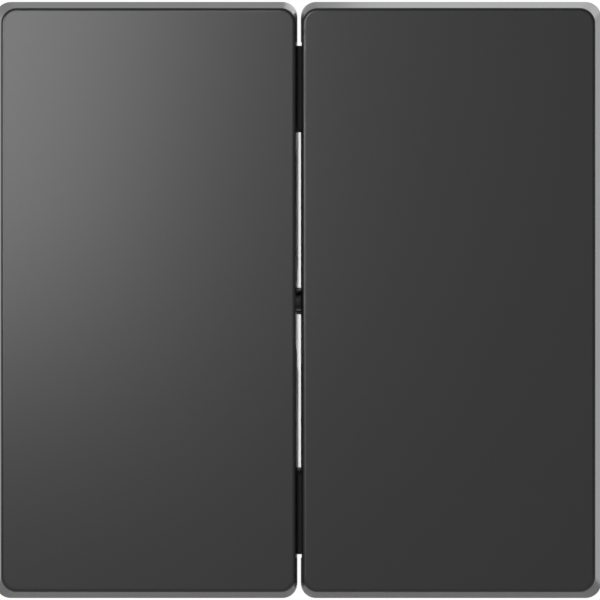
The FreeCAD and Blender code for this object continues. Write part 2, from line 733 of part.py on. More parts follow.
def support_ring(doc, d):
    """The steel ring on the wall, with four fixing slots and the octagonal opening."""
    body = new_body(doc, "support_ring")
    sheet = (d.ring_y, d.zero)
    fix = d.fix_spacing / 2
    slots = [slot(d.zero, fix * way, d.fix_slot_long, d.fix_slot_wide, True) for way in (-1, 1)]
    slots += [slot(fix * way, d.zero, d.fix_slot_long, d.fix_slot_wide, False) for way in (-1, 1)]
    holes = [
        disc(d.rivet_x * x_way, d.rivet_z * z_way, d.rivet_wide / 2 + d.running)
        for x_way in (-1, 1)
        for z_way in (-1, 1)
    ]
    mouth = octagon(d.mouth_wide / 2, d.mouth_tall / 2, d.mouth_corner)
    pad(body, "sheet", "y", sheet, octagon(d.ring_half, d.ring_half, d.ring_corner), mouth, *slots, *holes)
    cut(body, "socket_seat", "y", (d.seat_y, d.zero),
        rectangle(around(d.zero, d.socket_wide / 2 + d.sliding), around(d.zero, d.socket_tall / 2 + d.sliding),
                  d.socket_round + d.sliding))
    press_beads(body, d)
    edge = (d.ring_half - d.notch_deep, d.ring_half)
    places = [around(d.notch_place * way, d.notch_wide / 2) for way in (-1, 1)]
    notches = [rectangle(sided(way, *edge), place) for way in (-1, 1) for place in places]
    notches += [rectangle(place, sided(way, *edge)) for way in (-1, 1) for place in places]
    mark = (fix + d.fix_slot_long / 2 - d.bite * 2, d.ring_half)
    notches += [rectangle(around(d.zero, d.mark_wide / 2), sided(way, *mark)) for way in (-1, 1)]
    cut(body, "notches", "y", sheet, *notches)
    return body


def press_beads(body, d):
    """Two stiffening beads along each side, raised in front and hollow behind."""

    def rows(inset):
        shapes = []
        for way in (-1, 1):
            width = around(d.bead_place * way, d.bead_wide / 2 - inset)
            for side in (-1, 1):
                length = sided(side, d.bead_near + inset, d.bead_far - inset)
                shapes += [rectangle(length, width), rectangle(width, length)]
        return shapes

    pad(body, "bead", "y", (d.ring_y - d.bead_deep, d.ring_y), *rows(d.zero))
    cut(body, "bead_hollow", "y", (-d.bead_deep, d.zero), *rows(d.bead_deep))


def hood(doc, d):
    """The white cover over the insert: plate, centre rib, side bearings and snap legs."""
    body = new_body(doc, "hood")
    plate = (d.hood_y, d.ring_y)
    stem_room = d.stem_wide / 2 + d.play
    windows = [
        rectangle(around(d.gang_x * way, stem_room), around(d.zero, d.stem_swing + d.play))
        for way in (-1, 1)
    ]
    pad(body, "plate", "y", plate, rectangle(around(d.zero, d.hood_half), around(d.zero, d.hood_half), d.skin),
        *windows)
    for side_name, side in SIDES:
        near = (d.gang_x * side, stem_room)
        tall = d.stem_swing + d.play
        pad(body, f"collar_{side_name}", "y", (d.hood_y - d.collar_tall, d.hood_y),
            rectangle(around(near[0], stem_room + d.collar_thick), around(d.zero, tall + d.collar_thick)),
            rectangle(around(*near), around(d.zero, tall)))
    pad(body, "rib", "x", around(d.zero, d.rib_thick / 2),
        rectangle((-d.rib_ahead, d.ring_y), around(d.zero, d.rib_half)))
    cheek_top = d.axle_ahead + d.axle_wide
    for side_name, side in SIDES:
        pad(
            body, f"cheek_{side_name}", "x", sided(side, d.cheek_in, d.cheek_out),
            outline(
                (d.ring_y, -d.cheek_half),
                (-cheek_top, -d.cheek_half, d.cheek_half * 0.8),
                (-cheek_top, d.cheek_half, d.cheek_half * 0.8),
                (d.ring_y, d.cheek_half),
            ),
        )
    bearing = d.axle_wide / 2 + d.running
    cut(body, "bearings", "x", around(d.zero, d.cheek_out), disc(-d.axle_ahead, d.zero, bearing))
    head_room = d.rivet_head / 2 + d.sliding
    for x_way in (-1, 1):
        for z_way in (-1, 1):
            cut(body, f"head_room_{x_way + 1}{z_way + 1}", "y",
                (d.ring_y - d.rivet_head_thick - d.sliding, d.ring_y),
                rectangle(around(d.rivet_x * x_way, head_room), around(d.rivet_z * z_way, head_room)))
    leg_far = d.mouth_tall / 2 - d.running
    for end, way in ENDS:
        pad(
            body, f"snap_{end}", "x", around(d.zero, d.snap_wide / 2),
            outline(
                (d.ring_y - d.bite, way * (leg_far - d.snap_thick)),
                (d.ring_y - d.bite, way * leg_far),
                (d.seat_y + d.running, way * leg_far),
                (d.seat_y + d.running, way * (leg_far + d.snap_hook)),
                (d.seat_y + d.running + d.snap_hook * 3, way * leg_far),
                (d.seat_y + d.running + d.snap_hook * 3, way * (leg_far - d.snap_thick)),
            ),
        )
    return body


def rivet(doc, d, name, x_way, z_way):
    """One rivet from the ring's front into a corner of the socket."""
    body = new_body(doc, name)
    head = d.ring_y - d.rivet_head_thick
    turn(
        body, "profile",
        outline(
            (d.zero, head),
            (d.rivet_head / 2 - d.rivet_head_thick, head),
            (d.rivet_head / 2, d.ring_y),
            (d.rivet_wide / 2, d.ring_y),
            (d.rivet_wide / 2, d.rivet_deep),
            (d.zero, d.rivet_deep),
        ),
    )
    put(body, x=d.rivet_x * x_way, z=d.rivet_z * z_way)
    return body


# ---- socket with its terminals


def clamp_places(d):
    """For each terminal: the face its wire lies against, and which way the wire and spring lie from it."""
    return {
        "top": (d.traveller_z, -1),
        "common": (d.knife_thick / 2, 1),
        "bottom": (-d.traveller_z, 1),
    }


def cell_span(d, role):
    """The height of one clamp cell, from behind the terminal's tail to behind the spring."""
    face, way = clamp_places(d)[role]
    sheet = d.knife_thick if role == "common" else d.strip_thick
    return sorted((face - way * (sheet + d.sliding), face + way * d.cell_rise), key=number)


def socket(doc, d):
    """The moulded socket: two contact chambers in front, six clamp cells behind."""
    body = new_body(doc, "socket")
    half_x = d.socket_wide / 2
    half_z = d.socket_tall / 2
    pad(body, "block", "y", (d.seat_y, d.socket_y),
        rectangle(around(d.zero, half_x), around(d.zero, half_z), d.socket_round))
    ease_edges(body, "Chamfer", "back_edge", d.socket_edge, lambda box: lies_at(box.YMin, box.YMax, d.socket_y))
    mould_recesses(body, d)
    far = half_x - d.socket_wall
    high = half_z - d.socket_wall
    for side_name, side in SIDES:
        cut(
            body, f"chamber_{side_name}", "y", (d.seat_y, d.floor_y),
            outline(
                (d.toggle_inner * side, -high),
                ((far - d.mouth_corner) * side, -high),
                (far * side, d.mouth_corner - high),
                (far * side, high - d.mouth_corner),
                ((far - d.mouth_corner) * side, high),
                (d.toggle_inner * side, high),
            ),
        )
        for role in ROLES:
            cut(body, f"cell_{side_name}_{role}", "y", (d.cell_y, d.socket_y),
                rectangle(around(d.gang_x * side, d.cell_wide / 2), cell_span(d, role)))
            cut(body, f"pass_{side_name}_{role}", "y", (d.floor_y, d.cell_y),
                rectangle(around(d.gang_x * side, d.strip_wide / 2 + d.sliding), tail_span(d, role, d.sliding)))
    snap_end = d.seat_y + d.running + d.snap_hook * 3 + d.sliding
    for end, way in ENDS:
        notch = sorted((way * (d.mouth_tall / 2 - d.snap_thick - d.play), way * high), key=number)
        cut(body, f"snap_notch_{end}", "y", (d.seat_y, snap_end),
            rectangle(around(d.zero, d.snap_wide / 2 + d.sliding), notch))
    shank = d.rivet_wide / 2 + d.running
    cut(body, "rivet_holes", "y", (d.seat_y, d.rivet_deep + d.sliding),
        *[disc(d.rivet_x * x_way, d.rivet_z * z_way, shank) for x_way in (-1, 1) for z_way in (-1, 1)])
    return body


def mould_recesses(body, d):
    """Shallow recesses that keep the socket's side walls even: three on each side, two above and below."""
    depth = (d.panel_from, d.socket_y - d.panel_short)
    flat_z = d.socket_tall / 2 - d.socket_round
    flat_x = d.socket_wide / 2 - d.socket_round
    third = (flat_z * 2 - d.panel_rib * 2) / 3
    uprights = [around((third + d.panel_rib) * row, third / 2) for row in (-1, 0, 1)]
    for side_name, side in SIDES:
        face = sided(side, d.socket_wide / 2 - d.panel_deep, d.socket_wide / 2)
        cut(body, f"recess_{side_name}", "x", face, *[rectangle(depth, upright) for upright in uprights])
    for end, way in ENDS:
        face = sided(way, d.socket_tall / 2 - d.panel_deep, d.socket_tall / 2)
        across = [sided(side, d.panel_rib / 2, flat_x) for side in (-1, 1)]
        cut(body, f"recess_{end}", "z", face, *[rectangle(span, depth) for span in across])


def tail_span(d, role, spare):
    """The height that a terminal's tail fills, with some clearance each side."""
    face, way = clamp_places(d)[role]
    sheet = d.knife_thick if role == "common" else d.strip_thick
    return sorted((face + way * spare, face - way * (sheet + spare)), key=number)


def common_terminal(doc, d, name, side):
    """The common terminal: a blade whose rounded front edge is the see-saw's pivot."""
    body = new_body(doc, f"{name}_common_terminal")
    nose = d.knife_thick / 2
    pad(
        body, "blade", "x", around(d.zero, d.strip_wide / 2),
        outline(
            (d.pivot_y - nose, -nose, nose * 0.96),
            (d.cell_y + d.floor_thick, -nose),
            (d.cell_y + d.floor_thick, nose),
            (d.pivot_y - nose, nose, nose * 0.96),
        ),
    )
    pad(body, "tail", "x", around(d.zero, d.tail_wide / 2),
        rectangle((d.cell_y + d.sliding, d.tail_y), around(d.zero, nose)))
    put(body, x=d.gang_x * side)
    return body


def traveller(doc, d, name, side, role):
    """A traveller terminal: an angle of brass with the fixed contact on its short leg."""
    body = new_body(doc, f"{name}_{role}_traveller")
    way = 1 if role == "top" else -1
    inner = d.traveller_z
    outer = inner + d.strip_thick
    near = d.contact_z - d.contact_wide / 2 - d.sliding
    pad(
        body, "angle", "x", around(d.zero, d.strip_wide / 2),
        outline(
            (d.strip_y, way * near),
            (d.strip_y, way * outer, d.strip_thick * 0.9),
            (d.cell_y + d.floor_thick, way * outer),
            (d.cell_y + d.floor_thick, way * inner),
            (d.floor_y, way * inner),
            (d.floor_y, way * near),
        ),
    )
    pad(body, "tail", "x", around(d.zero, d.tail_wide / 2),
        rectangle((d.cell_y + d.sliding, d.tail_y), sorted((way * inner, way * outer), key=number)))
    cut(body, "tip_hole", "y", (d.strip_y, d.floor_y),
        disc(d.zero, way * d.contact_z, d.contact_shank / 2 + d.running))
    put(body, x=d.gang_x * side)
    return body


def seesaw_contact(doc, d, name, side):
    """The see-saw contact: a strip grooved for the pivot edge, with a hole for a tip at each end."""
    body = new_body(doc, f"{name}_seesaw_contact")
    pad(body, "strip", "x", around(d.zero, d.seesaw_wide / 2),
        rectangle((d.seesaw_y, d.pivot_y), around(d.zero, d.seesaw_half)))
    cut(body, "groove", "x", around(d.zero, d.seesaw_wide / 2),
        disc(d.pivot_y, d.zero, d.knife_thick / 2 + d.running))
    for end, way in ENDS:
        cut(body, f"tip_hole_{end}", "y", (d.seesaw_y, d.pivot_y),
            disc(d.zero, way * d.contact_z, d.contact_shank / 2 + d.running))
    put(body, x=d.gang_x * side)
    return body


def contact_tip(doc, d, label, side, way, face_y, seat_y, end_y):
    """A silver contact tip: tapered head from its face to its seat, shank riveted through the strip."""
    body = new_body(doc, label)
    radius = d.contact_wide / 2
    turn(
        body, "profile",
        outline(
            (d.zero, face_y),
            (radius - d.contact_bevel, face_y),
            (radius, seat_y),
            (d.contact_shank / 2, seat_y),
            (d.contact_shank / 2, end_y),
            (d.zero, end_y),
        ),
    )
    put(body, x=d.gang_x * side, z=d.contact_z * way)
    return body


def clamp_spring(doc, d, name, side, role):
    """The cage spring of a push-in terminal: fixed leg, bend at the mouth and the clamping leg."""
    body = new_body(doc, f"{name}_{role}_clamp_spring")
    face, way = clamp_places(d)[role]
    half = d.clamp_thick / 2
    fixed = face + way * (d.clamp_rise + half)
    mouth = d.plug_y - d.sliding - half
    bend = face + way * (d.clamp_rise - d.clamp_bend * 2)
    tip = face + way * d.clamp_thick * 1.5
    start = d.cell_y + d.floor_thick
    path = new_sketch(body, "path", "x", d.zero, [
        polyline(
            (start, fixed),
            (mouth, fixed, d.clamp_bend),
            (mouth, bend, d.clamp_bend),
            (start + d.clamp_rise / 3, tip),
        )
    ])
    section = new_sketch(body, "section", "y", start, [
        rectangle(around(d.zero, d.tail_wide / 2), around(fixed, half))
    ])
    pipe = body.newObject("PartDesign::AdditivePipe", f"{body.Name}_strip")
    pipe.Profile = section
    pipe.Spine = path
    put(body, x=d.gang_x * side)
    return body


def lever_spans(d, role, spare):
    """Sideways and upright spans of a release lever, with some clearance all round."""
    face, way = clamp_places(d)[role]
    across = around(d.wire_shift, d.lever_wide / 2 + spare)
    middle = face + way * (d.wire_bore / 2 + d.lever_tall / 2)
    return across, around(middle, d.lever_tall / 2 + spare)


def terminal_cap(doc, d, name, side, role):
    """The cap over one clamp cell, with the wire entry and the lever's window."""
    body = new_body(doc, f"{name}_{role}_terminal_cap")
    face, way = clamp_places(d)[role]
    low, high = cell_span(d, role)
    half = d.cell_wide / 2
    pad(body, "lid", "y", (d.socket_y, d.cap_y),
        rectangle(around(d.zero, half + d.cap_rim), (low - d.cap_rim, high + d.cap_rim), d.cap_rim))
    pad(body, "plug", "y", (d.plug_y, d.socket_y + d.bite),
        rectangle(around(d.zero, half - d.sliding), (low + d.sliding, high - d.sliding)))
    entry = face + way * (d.wire_bore / 2 + d.sliding)
    cut(body, "wire_entry", "y", (d.plug_y, d.cap_y), disc(-d.wire_shift, entry, d.wire_bore / 2))
    cut(body, "lever_window", "y", (d.plug_y, d.cap_y), rectangle(*lever_spans(d, role, d.sliding)))
    put(body, x=d.gang_x * side)
    return body


def release_lever(doc, d, name, side, role):
    """The little push lever that opens one clamp spring."""
    body = new_body(doc, f"{name}_{role}_release_lever")
    across, upright = lever_spans(d, role, d.zero)
    foot = d.plug_y - d.lever_lip - d.play
    pad(body, "stem", "y", (foot, d.cap_y + d.lever_proud), rectangle(across, upright))
    lip_across, _ = lever_spans(d, role, d.lever_lip)
    pad(body, "lip", "y", (d.plug_y - d.lever_lip - d.sliding, d.plug_y - d.sliding),
        rectangle(lip_across, upright))
    top = d.cap_y + d.lever_proud
    middle = (upright[0] + upright[1]) / 2
    cut(body, "blade_slot", "y", (top - d.lever_slot, top), rectangle(across, around(middle, d.lever_slot / 2)))
    put(body, x=d.gang_x * side)
    return body


# ---- the whole switch


def build(doc):
    """Make every piece, in the order that the switch goes together."""
    d = derive(make_sheet(doc))
    pieces = [support_ring(doc, d), socket(doc, d), hood(doc, d), axle(doc, d)]
    corners = [(x_way, z_way) for z_way in (1, -1) for x_way in (-1, 1)]
    for count, (x_way, z_way) in enumerate(corners, start=1):
        pieces.append(rivet(doc, d, f"socket_rivet_{count}", x_way, z_way))
    for name, side in SIDES:
        pieces.append(rocker(doc, d, name, side))
        pieces.append(toggle(doc, d, name, side))
        pieces.append(plunger(doc, d, name, side))
        pieces.append(plunger_spring(doc, d, name, side))
        pieces.append(seesaw_contact(doc, d, name, side))
        pieces.append(common_terminal(doc, d, name, side))
        for end, way in ENDS:
            pieces.append(traveller(doc, d, name, side, end))
            pieces.append(contact_tip(doc, d, f"{name}_{end}_fixed_tip", side, way, d.fixed_y, d.strip_y, d.floor_y))
            moving_face = d.pivot_y + d.contact_thick
            pieces.append(contact_tip(doc, d, f"{name}_{end}_moving_tip", side, way, moving_face, d.pivot_y, d.seesaw_y))
        for role in ROLES:
            pieces.append(clamp_spring(doc, d, name, side, role))
            pieces.append(terminal_cap(doc, d, name, side, role))
            pieces.append(release_lever(doc, d, name, side, role))
    return pieces


def check(doc, pieces):
    """Stop if any feature failed or any piece has no valid solid."""
    for thing in doc.Objects:
        if {"Invalid", "Error"} & set(thing.State):
            raise RuntimeError(f"{thing.Name} failed: {thing.State}")
    for piece in pieces:
        shape = piece.Shape
        if shape.isNull() or not shape.isValid() or len(shape.Solids) != 1:
            raise RuntimeError(f"{piece.Label} has {len(shape.Solids)} solids or is not valid")


def main():
    """Build the switch and write one STEP file for each piece."""
    doc = FreeCAD.newDocument("rocker_switch")
    pieces = build(doc)
    doc.recompute()
    check(doc, pieces)
    os.makedirs("parts", exist_ok=True)
    for piece in pieces:
        piece.Shape.exportStep(f"parts/{piece.Label}.step")


main()
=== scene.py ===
"""Looks of a two-gang rocker wall switch: finishes, added pieces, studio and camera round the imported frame.

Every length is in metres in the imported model's own frame: +X points right, +Y into the wall and +Z up.
The wall face is at y = 0, the rockers stand in front of it and the socket reaches into the wall behind it.
"""

import json
import logging
import math
from collections.abc import Callable
from dataclasses import KW_ONLY, dataclass, field
from enum import Enum
from functools import partial
from typing import Any, ClassVar

import bpy
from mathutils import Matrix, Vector

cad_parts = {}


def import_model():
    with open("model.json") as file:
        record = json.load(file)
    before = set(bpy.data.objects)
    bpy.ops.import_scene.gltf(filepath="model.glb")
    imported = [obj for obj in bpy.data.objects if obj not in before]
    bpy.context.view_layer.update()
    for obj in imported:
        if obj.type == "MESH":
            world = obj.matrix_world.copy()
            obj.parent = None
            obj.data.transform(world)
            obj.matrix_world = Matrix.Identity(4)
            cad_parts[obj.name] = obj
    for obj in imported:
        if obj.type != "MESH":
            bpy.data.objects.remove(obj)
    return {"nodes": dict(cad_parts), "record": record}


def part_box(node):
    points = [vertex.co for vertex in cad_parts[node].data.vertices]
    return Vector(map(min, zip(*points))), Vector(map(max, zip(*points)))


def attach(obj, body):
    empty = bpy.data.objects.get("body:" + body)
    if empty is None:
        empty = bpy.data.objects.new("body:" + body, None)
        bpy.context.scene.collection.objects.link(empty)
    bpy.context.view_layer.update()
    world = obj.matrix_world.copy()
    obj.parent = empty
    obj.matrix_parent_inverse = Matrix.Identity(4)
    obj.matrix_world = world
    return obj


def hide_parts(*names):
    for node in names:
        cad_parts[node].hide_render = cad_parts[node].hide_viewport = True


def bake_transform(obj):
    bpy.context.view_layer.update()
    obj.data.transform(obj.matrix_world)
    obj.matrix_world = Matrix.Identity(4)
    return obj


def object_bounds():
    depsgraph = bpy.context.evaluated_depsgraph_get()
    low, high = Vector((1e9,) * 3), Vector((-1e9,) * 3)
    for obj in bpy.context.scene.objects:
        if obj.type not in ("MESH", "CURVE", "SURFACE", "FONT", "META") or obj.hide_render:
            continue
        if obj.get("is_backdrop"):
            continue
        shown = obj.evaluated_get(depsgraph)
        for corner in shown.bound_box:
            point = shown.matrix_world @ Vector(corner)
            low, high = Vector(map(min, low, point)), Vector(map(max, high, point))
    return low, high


LOG = logging.getLogger("wall_switch")
MM = 0.001
SQUARE = 0.9

Colour = tuple[float, float, float]
Point = tuple[float, float, float]
Pair = tuple[float, float]
Socket = bpy.types.NodeSocket


class Lay(Enum):
    """Which way the marks of rolling, drawing or turning run over a metal piece."""

    ALONG_Y = (1.0, 0.04, 1.0)
    ALONG_Z = (1.0, 1.0, 0.04)
    ROUND_X = (1.0, 0.12, 0.12)


class Side(Enum):
    """The two gangs, by the word that starts their node names."""

    LEFT = "left"
    RIGHT = "right"


class Role(Enum):
    """The three terminals of a gang, by their word in node names."""

    TOP = "top"
    COMMON = "common"
    BOTTOM = "bottom"


# ---- shader trees


class Tree:
    """A thin hand on one shader node tree, for adding nodes and joining them."""

    COLUMN = 220
    ROW = 260
    MIX_FACTOR = 0
    MIX_COLOURS = (6, 7)
    MIX_RESULT = 2

    def __init__(self, tree: bpy.types.NodeTree) -> None:
        """Take over a tree and clear it."""
        self.tree = tree
        tree.nodes.clear()

    def feed(self, target: Socket, value: Any) -> None:
        """Link an output to an input, or set the input where the value is a plain one.

        Args:
            target: the input.
            value: an output, a number, a vector, or a colour without its alpha.
        """
        if isinstance(value, Socket):
            self.tree.links.new(value, target)
        else:
            target.default_value = (*value, 1) if target.type == "RGBA" else value

    def add(self, kind: str, feeds: dict[str | int, Any] | None = None, **settings: Any) -> bpy.types.Node:
        """Add one node.

        Args:
            kind: the node's type name.
            feeds: what its inputs are fed, by name or number.
            settings: properties to set on it.

        Returns:
            The new node.
        """
        node = self.tree.nodes.new(kind)
        for name, value in settings.items():
            setattr(node, name, value)
        for name, value in (feeds or {}).items():
            self.feed(node.inputs[name], value)
        return node

    def effect(self, group: bpy.types.NodeTree, feeds: dict[str, Any]) -> bpy.types.NodeOutputs:
        """The outputs of a shared effect that is fed this finish's own values."""
        return self.add("ShaderNodeGroup", feeds, node_tree=group).outputs

    def maths(self, operation: str, first: Any, second: Any) -> Socket:
        """The result of a Math node on two numbers or outputs."""
        return self.add("ShaderNodeMath", {0: first, 1: second}, operation=operation).outputs[0]

    def blend(self, mask: Socket, low: Any, high: Any) -> Socket:
        """Mix two colours, or the outputs that give them, by a mask from 0 for low to 1 for high."""
        feeds = {self.MIX_FACTOR: mask, **dict(zip(self.MIX_COLOURS, (low, high)))}
        return self.add("ShaderNodeMix", feeds, data_type="RGBA").outputs[self.MIX_RESULT]

    def ramp(self, value: Socket, start: float, end: float, span: Pair = (0, 1)) -> Socket:
        """Map a span of a value's range onto the range from start to end, smoothly and clamped."""
        feeds = {"Value": value, "From Min": span[0], "From Max": span[1], "To Min": start, "To Max": end}
        return self.add("ShaderNodeMapRange", feeds, interpolation_type="SMOOTHSTEP").outputs["Result"]

    def noise(self, where: Socket, size: Socket, detail: float, swirl: float = 0) -> Socket:
        """A Noise Texture that repeats so many times per metre and has so many finer layers."""
        feeds = {"Vector": where, "Scale": size, "Detail": detail, "Distortion": swirl}
        return self.add("ShaderNodeTexNoise", feeds).outputs["Fac"]

    def arranged(self) -> bpy.types.NodeTree:
        """Stand the nodes in columns, by how many links each is from the end.

        Returns:
            The tree.
        """
        depth = {node.name: 0 for node in self.tree.nodes}
        for _ in depth:
            for link in self.tree.links:
                depth[link.from_node.name] = max(depth[link.from_node.name], depth[link.to_node.name] + 1)
        rows = dict.fromkeys(depth.values(), 0)
        for node in self.tree.nodes:
            column = depth[node.name]
            node.location = (-self.COLUMN * column, -self.ROW * rows[column])
            rows[column] += 1
        return self.tree

    def end(self, kind: str, shader: bpy.types.Node) -> None:
        """Join the shader to an output node and arrange the tree."""
        self.add(kind, {"Surface": shader.outputs[0]})
        self.arranged()


class Effects:
    """The surface effects that several finishes share, each a node group built once."""

    PITS_SHARE = 0.6
    PITS_SOFT = 0.6
    BROAD_LINES = 0.13
    HAZE_SWIRL = 0.6
    EDGE_GAIN = 4.0
    # least strength of the edge lightening, which is partly wear and partly a painted edge highlight
    WEAR_AND_HIGHLIGHT_LEAST = 0.2

    def __init__(self) -> None:
        """Build every group."""
        self.grain = self._mould_grain()
        self.lines = self._mill_lines()
        self.haze = self._soft_haze()
        # edge mask that lightens edges in colour, partly as wear and partly as a painted highlight
        self.edges = self._edge_wear_and_highlight()

    @staticmethod
    def _group(
        name: str, vectors: tuple[str, ...], sizes: dict[str, float], results: tuple[str, ...]
    ) -> tuple[Tree, bpy.types.NodeOutputs, bpy.types.NodeInputs]:
        """Start a node group with its sockets.

        Args:
            name: the group's name.
            vectors: the names of its vector inputs.
            sizes: the names and default values of its number inputs.
            results: the names of its value outputs.

        Returns:
            A hand on the group, the sockets that it is given and the sockets that it has to feed.
        """
        group = bpy.data.node_groups.new(name, "ShaderNodeTree")
        for label in vectors:
            group.interface.new_socket(name=label, in_out="INPUT", socket_type="NodeSocketVector")
        for label, value in sizes.items():
            socket = group.interface.new_socket(name=label, in_out="INPUT", socket_type="NodeSocketFloat")
            socket.default_value = value
        for label in results:
            group.interface.new_socket(name=label, in_out="OUTPUT", socket_type="NodeSocketFloat")
        tree = Tree(group)
        return tree, tree.add("NodeGroupInput").outputs, tree.add("NodeGroupOutput").inputs

    def _mould_grain(self) -> bpy.types.NodeTree:
        """The fine spark-eroded grain of a moulded face, with its softer cloudiness.

        Returns:
            A group with Vector, Size and Cloud Size in, and Height and Cloud out.
        """
        sizes = {"Size": 9000, "Cloud Size": 60}
        tree, given, wanted = self._group("mould_grain", ("Vector",), sizes, ("Height", "Cloud"))
        where, size = given["Vector"], given["Size"]
        feeds = {"Vector": where, "Scale": size, "Smoothness": self.PITS_SOFT}
        pits = tree.add("ShaderNodeTexVoronoi", feeds, feature="SMOOTH_F1").outputs["Distance"]
        deep = tree.maths("MULTIPLY", pits, self.PITS_SHARE)
        fine = tree.maths("MULTIPLY", tree.noise(where, size, 2.0), 1 - self.PITS_SHARE)
        tree.feed(wanted["Height"], tree.maths("ADD", deep, fine))
        tree.feed(wanted["Cloud"], tree.ramp(tree.noise(where, given["Cloud Size"], 3.0), 0, 1))
        return tree.arranged()

    def _mill_lines(self) -> bpy.types.NodeTree:
        """The fine parallel lines that rolling, drawing or turning leaves on metal.

        Returns:
            A group with Vector and Size in, and Height and Mask out.
        """
        tree, given, wanted = self._group("mill_lines", ("Vector",), {"Size": 4000}, ("Height", "Mask"))
        where, size = given["Vector"], given["Size"]
        fine = tree.noise(where, size, 5.0)
        broad = tree.noise(where, tree.maths("MULTIPLY", size, self.BROAD_LINES), 2.0)
        mean = tree.maths("MULTIPLY", tree.maths("ADD", fine, broad), 0.5)
        tree.feed(wanted["Height"], fine)
        tree.feed(wanted["Mask"], tree.ramp(mean, 0, 1))
        return tree.arranged()

    def _soft_haze(self) -> bpy.types.NodeTree:
        """Broad soft patches, as of plating, oxide or handling.

        Returns:
            A group with Vector and Size in, and Mask out.
        """
        tree, given, wanted = self._group("soft_haze", ("Vector",), {"Size": 90}, ("Mask",))
        patch = tree.noise(given["Vector"], given["Size"], 4.0, self.HAZE_SWIRL)
        tree.feed(wanted["Mask"], tree.ramp(patch, 0, 1))
        return tree.arranged()

    def _edge_wear_and_highlight(self) -> bpy.types.NodeTree:
        """Edges lightened, partly as wear from handling and partly as a painted edge highlight, broken up so
        that it doesn't run on evenly.

        Returns:
            A group with Rounded, Vector and Size in, and Mask out.
        """
        tree, given, wanted = self._group("edge_wear_and_highlight", ("Rounded", "Vector"), {"Size": 900}, ("Mask",))
        facing = tree.add("ShaderNodeNewGeometry").outputs["Normal"]
        same = tree.add("ShaderNodeVectorMath", {0: facing, 1: given["Rounded"]}, operation="DOT_PRODUCT")
        bent = tree.maths("SUBTRACT", 1.0, same.outputs["Value"])
        wear_and_highlight = tree.maths("MULTIPLY", bent, self.EDGE_GAIN)
        uneven = tree.ramp(tree.noise(given["Vector"], given["Size"], 3.0), self.WEAR_AND_HIGHLIGHT_LEAST, 1)
        tree.feed(wanted["Mask"], tree.ramp(tree.maths("MULTIPLY", wear_and_highlight, uneven), 0, 1))
        return tree.arranged()


def shade(colour: Colour, by: float) -> Colour:
    """A colour with each channel multiplied by a number, never above 1."""
    return tuple(min(1.0, channel * by) for channel in colour)


# ---- finishes


@dataclass(frozen=True)
class Finish:
    """What every finish has: a colour, a gloss, a fine relief and edges that are worn and lightened with a
    painted highlight.

    Colours are linear. Sizes of patterns are repeats per metre.
    """

    BEVEL_SAMPLES: ClassVar[int] = 6
    SHINE: ClassVar[float]

    name: str
    colour: Colour
    roughness: float
    _: KW_ONLY
    gloss_spread: float
    relief: float
    edge: float
    # how much lighter the edges are painted: partly wear, partly a painted edge highlight
    wear_and_highlight: float

    def _depth(self) -> dict[str, float]:
        """What else the shader is fed."""
        return {}

    def _surface(self, tree: Tree, effects: Effects, where: Socket) -> tuple[Socket, Socket, Socket]:
        """The colour, the relief's height and the gloss's mask, which each kind makes in its own way."""
        raise NotImplementedError

    def material(self, effects: Effects) -> bpy.types.Material:
        """Make the material: the surface, its gloss and relief, and edges that are rounded, worn and
        lightened with a painted highlight.

        Args:
            effects: the shared groups.

        Returns:
            The material.
        """
        made = bpy.data.materials.new(self.name)
        made.use_nodes = True
        tree = Tree(made.node_tree)
        where = tree.add("ShaderNodeTexCoord").outputs["Object"]
        colour, height, mask = self._surface(tree, effects, where)
        gloss = tree.ramp(mask, self.roughness - self.gloss_spread, self.roughness + self.gloss_spread)
        bump = tree.add("ShaderNodeBump", {"Distance": self.relief, "Height": height})
        if self.edge:
            bevel = tree.add("ShaderNodeBevel", {"Radius": self.edge}, samples=self.BEVEL_SAMPLES)
            rounded = bevel.outputs["Normal"]
            tree.feed(bump.inputs["Normal"], rounded)
            wear_and_highlight_mask = tree.effect(effects.edges, {"Rounded": rounded, "Vector": where})["Mask"]
            # edge colour is lifted here: partly wear, partly a painted edge highlight
            colour = tree.blend(wear_and_highlight_mask, colour, shade(self.colour, self.wear_and_highlight))
            shine = tree.maths("MULTIPLY", wear_and_highlight_mask, self.gloss_spread * self.SHINE)
            gloss = tree.maths("SUBTRACT", gloss, shine)
        feeds = {"Base Color": colour, "Roughness": gloss, "Normal": bump.outputs["Normal"], **self._depth()}
        tree.end("ShaderNodeOutputMaterial", tree.add("ShaderNodeBsdfPrincipled", feeds))
        return made


@dataclass(frozen=True)
class MouldedPlastic(Finish):
    """A moulded plastic, from a fine satin cover to a dull thermosetting socket."""

    SHINE: ClassVar[float] = 2.0

    _: KW_ONLY
    gloss_spread: float = 0.03
    relief: float = 2e-6
    edge: float = 0.12 * MM
    # edges painted lighter, partly as wear and partly as a painted highlight
    wear_and_highlight: float = 1.22
    grain: float = 9000.0
    mottle: float = 0.03
    cloud: float = 60.0
    bleed: float = 0.0
    bleed_deep: float = 0.4 * MM

    def _depth(self) -> dict[str, float]:
        """How far light bleeds under the surface."""
        return {"Subsurface Weight": self.bleed, "Subsurface Scale": self.bleed_deep}

    def _surface(self, tree: Tree, effects: Effects, where: Socket) -> tuple[Socket, Socket, Socket]:
        """Lay the mould's grain and its faint clouds.

        Args:
            tree: the material's tree.
            effects: the shared groups.
            where: the coordinates to read.

        Returns:
            The colour, the height of the relief and the mask of the gloss.
        """
        grain = tree.effect(effects.grain, {"Vector": where, "Size": self.grain, "Cloud Size": self.cloud})
        dark, light = shade(self.colour, 1 - self.mottle), shade(self.colour, 1 + self.mottle)
        return tree.blend(grain["Cloud"], dark, light), grain["Height"], grain["Cloud"]


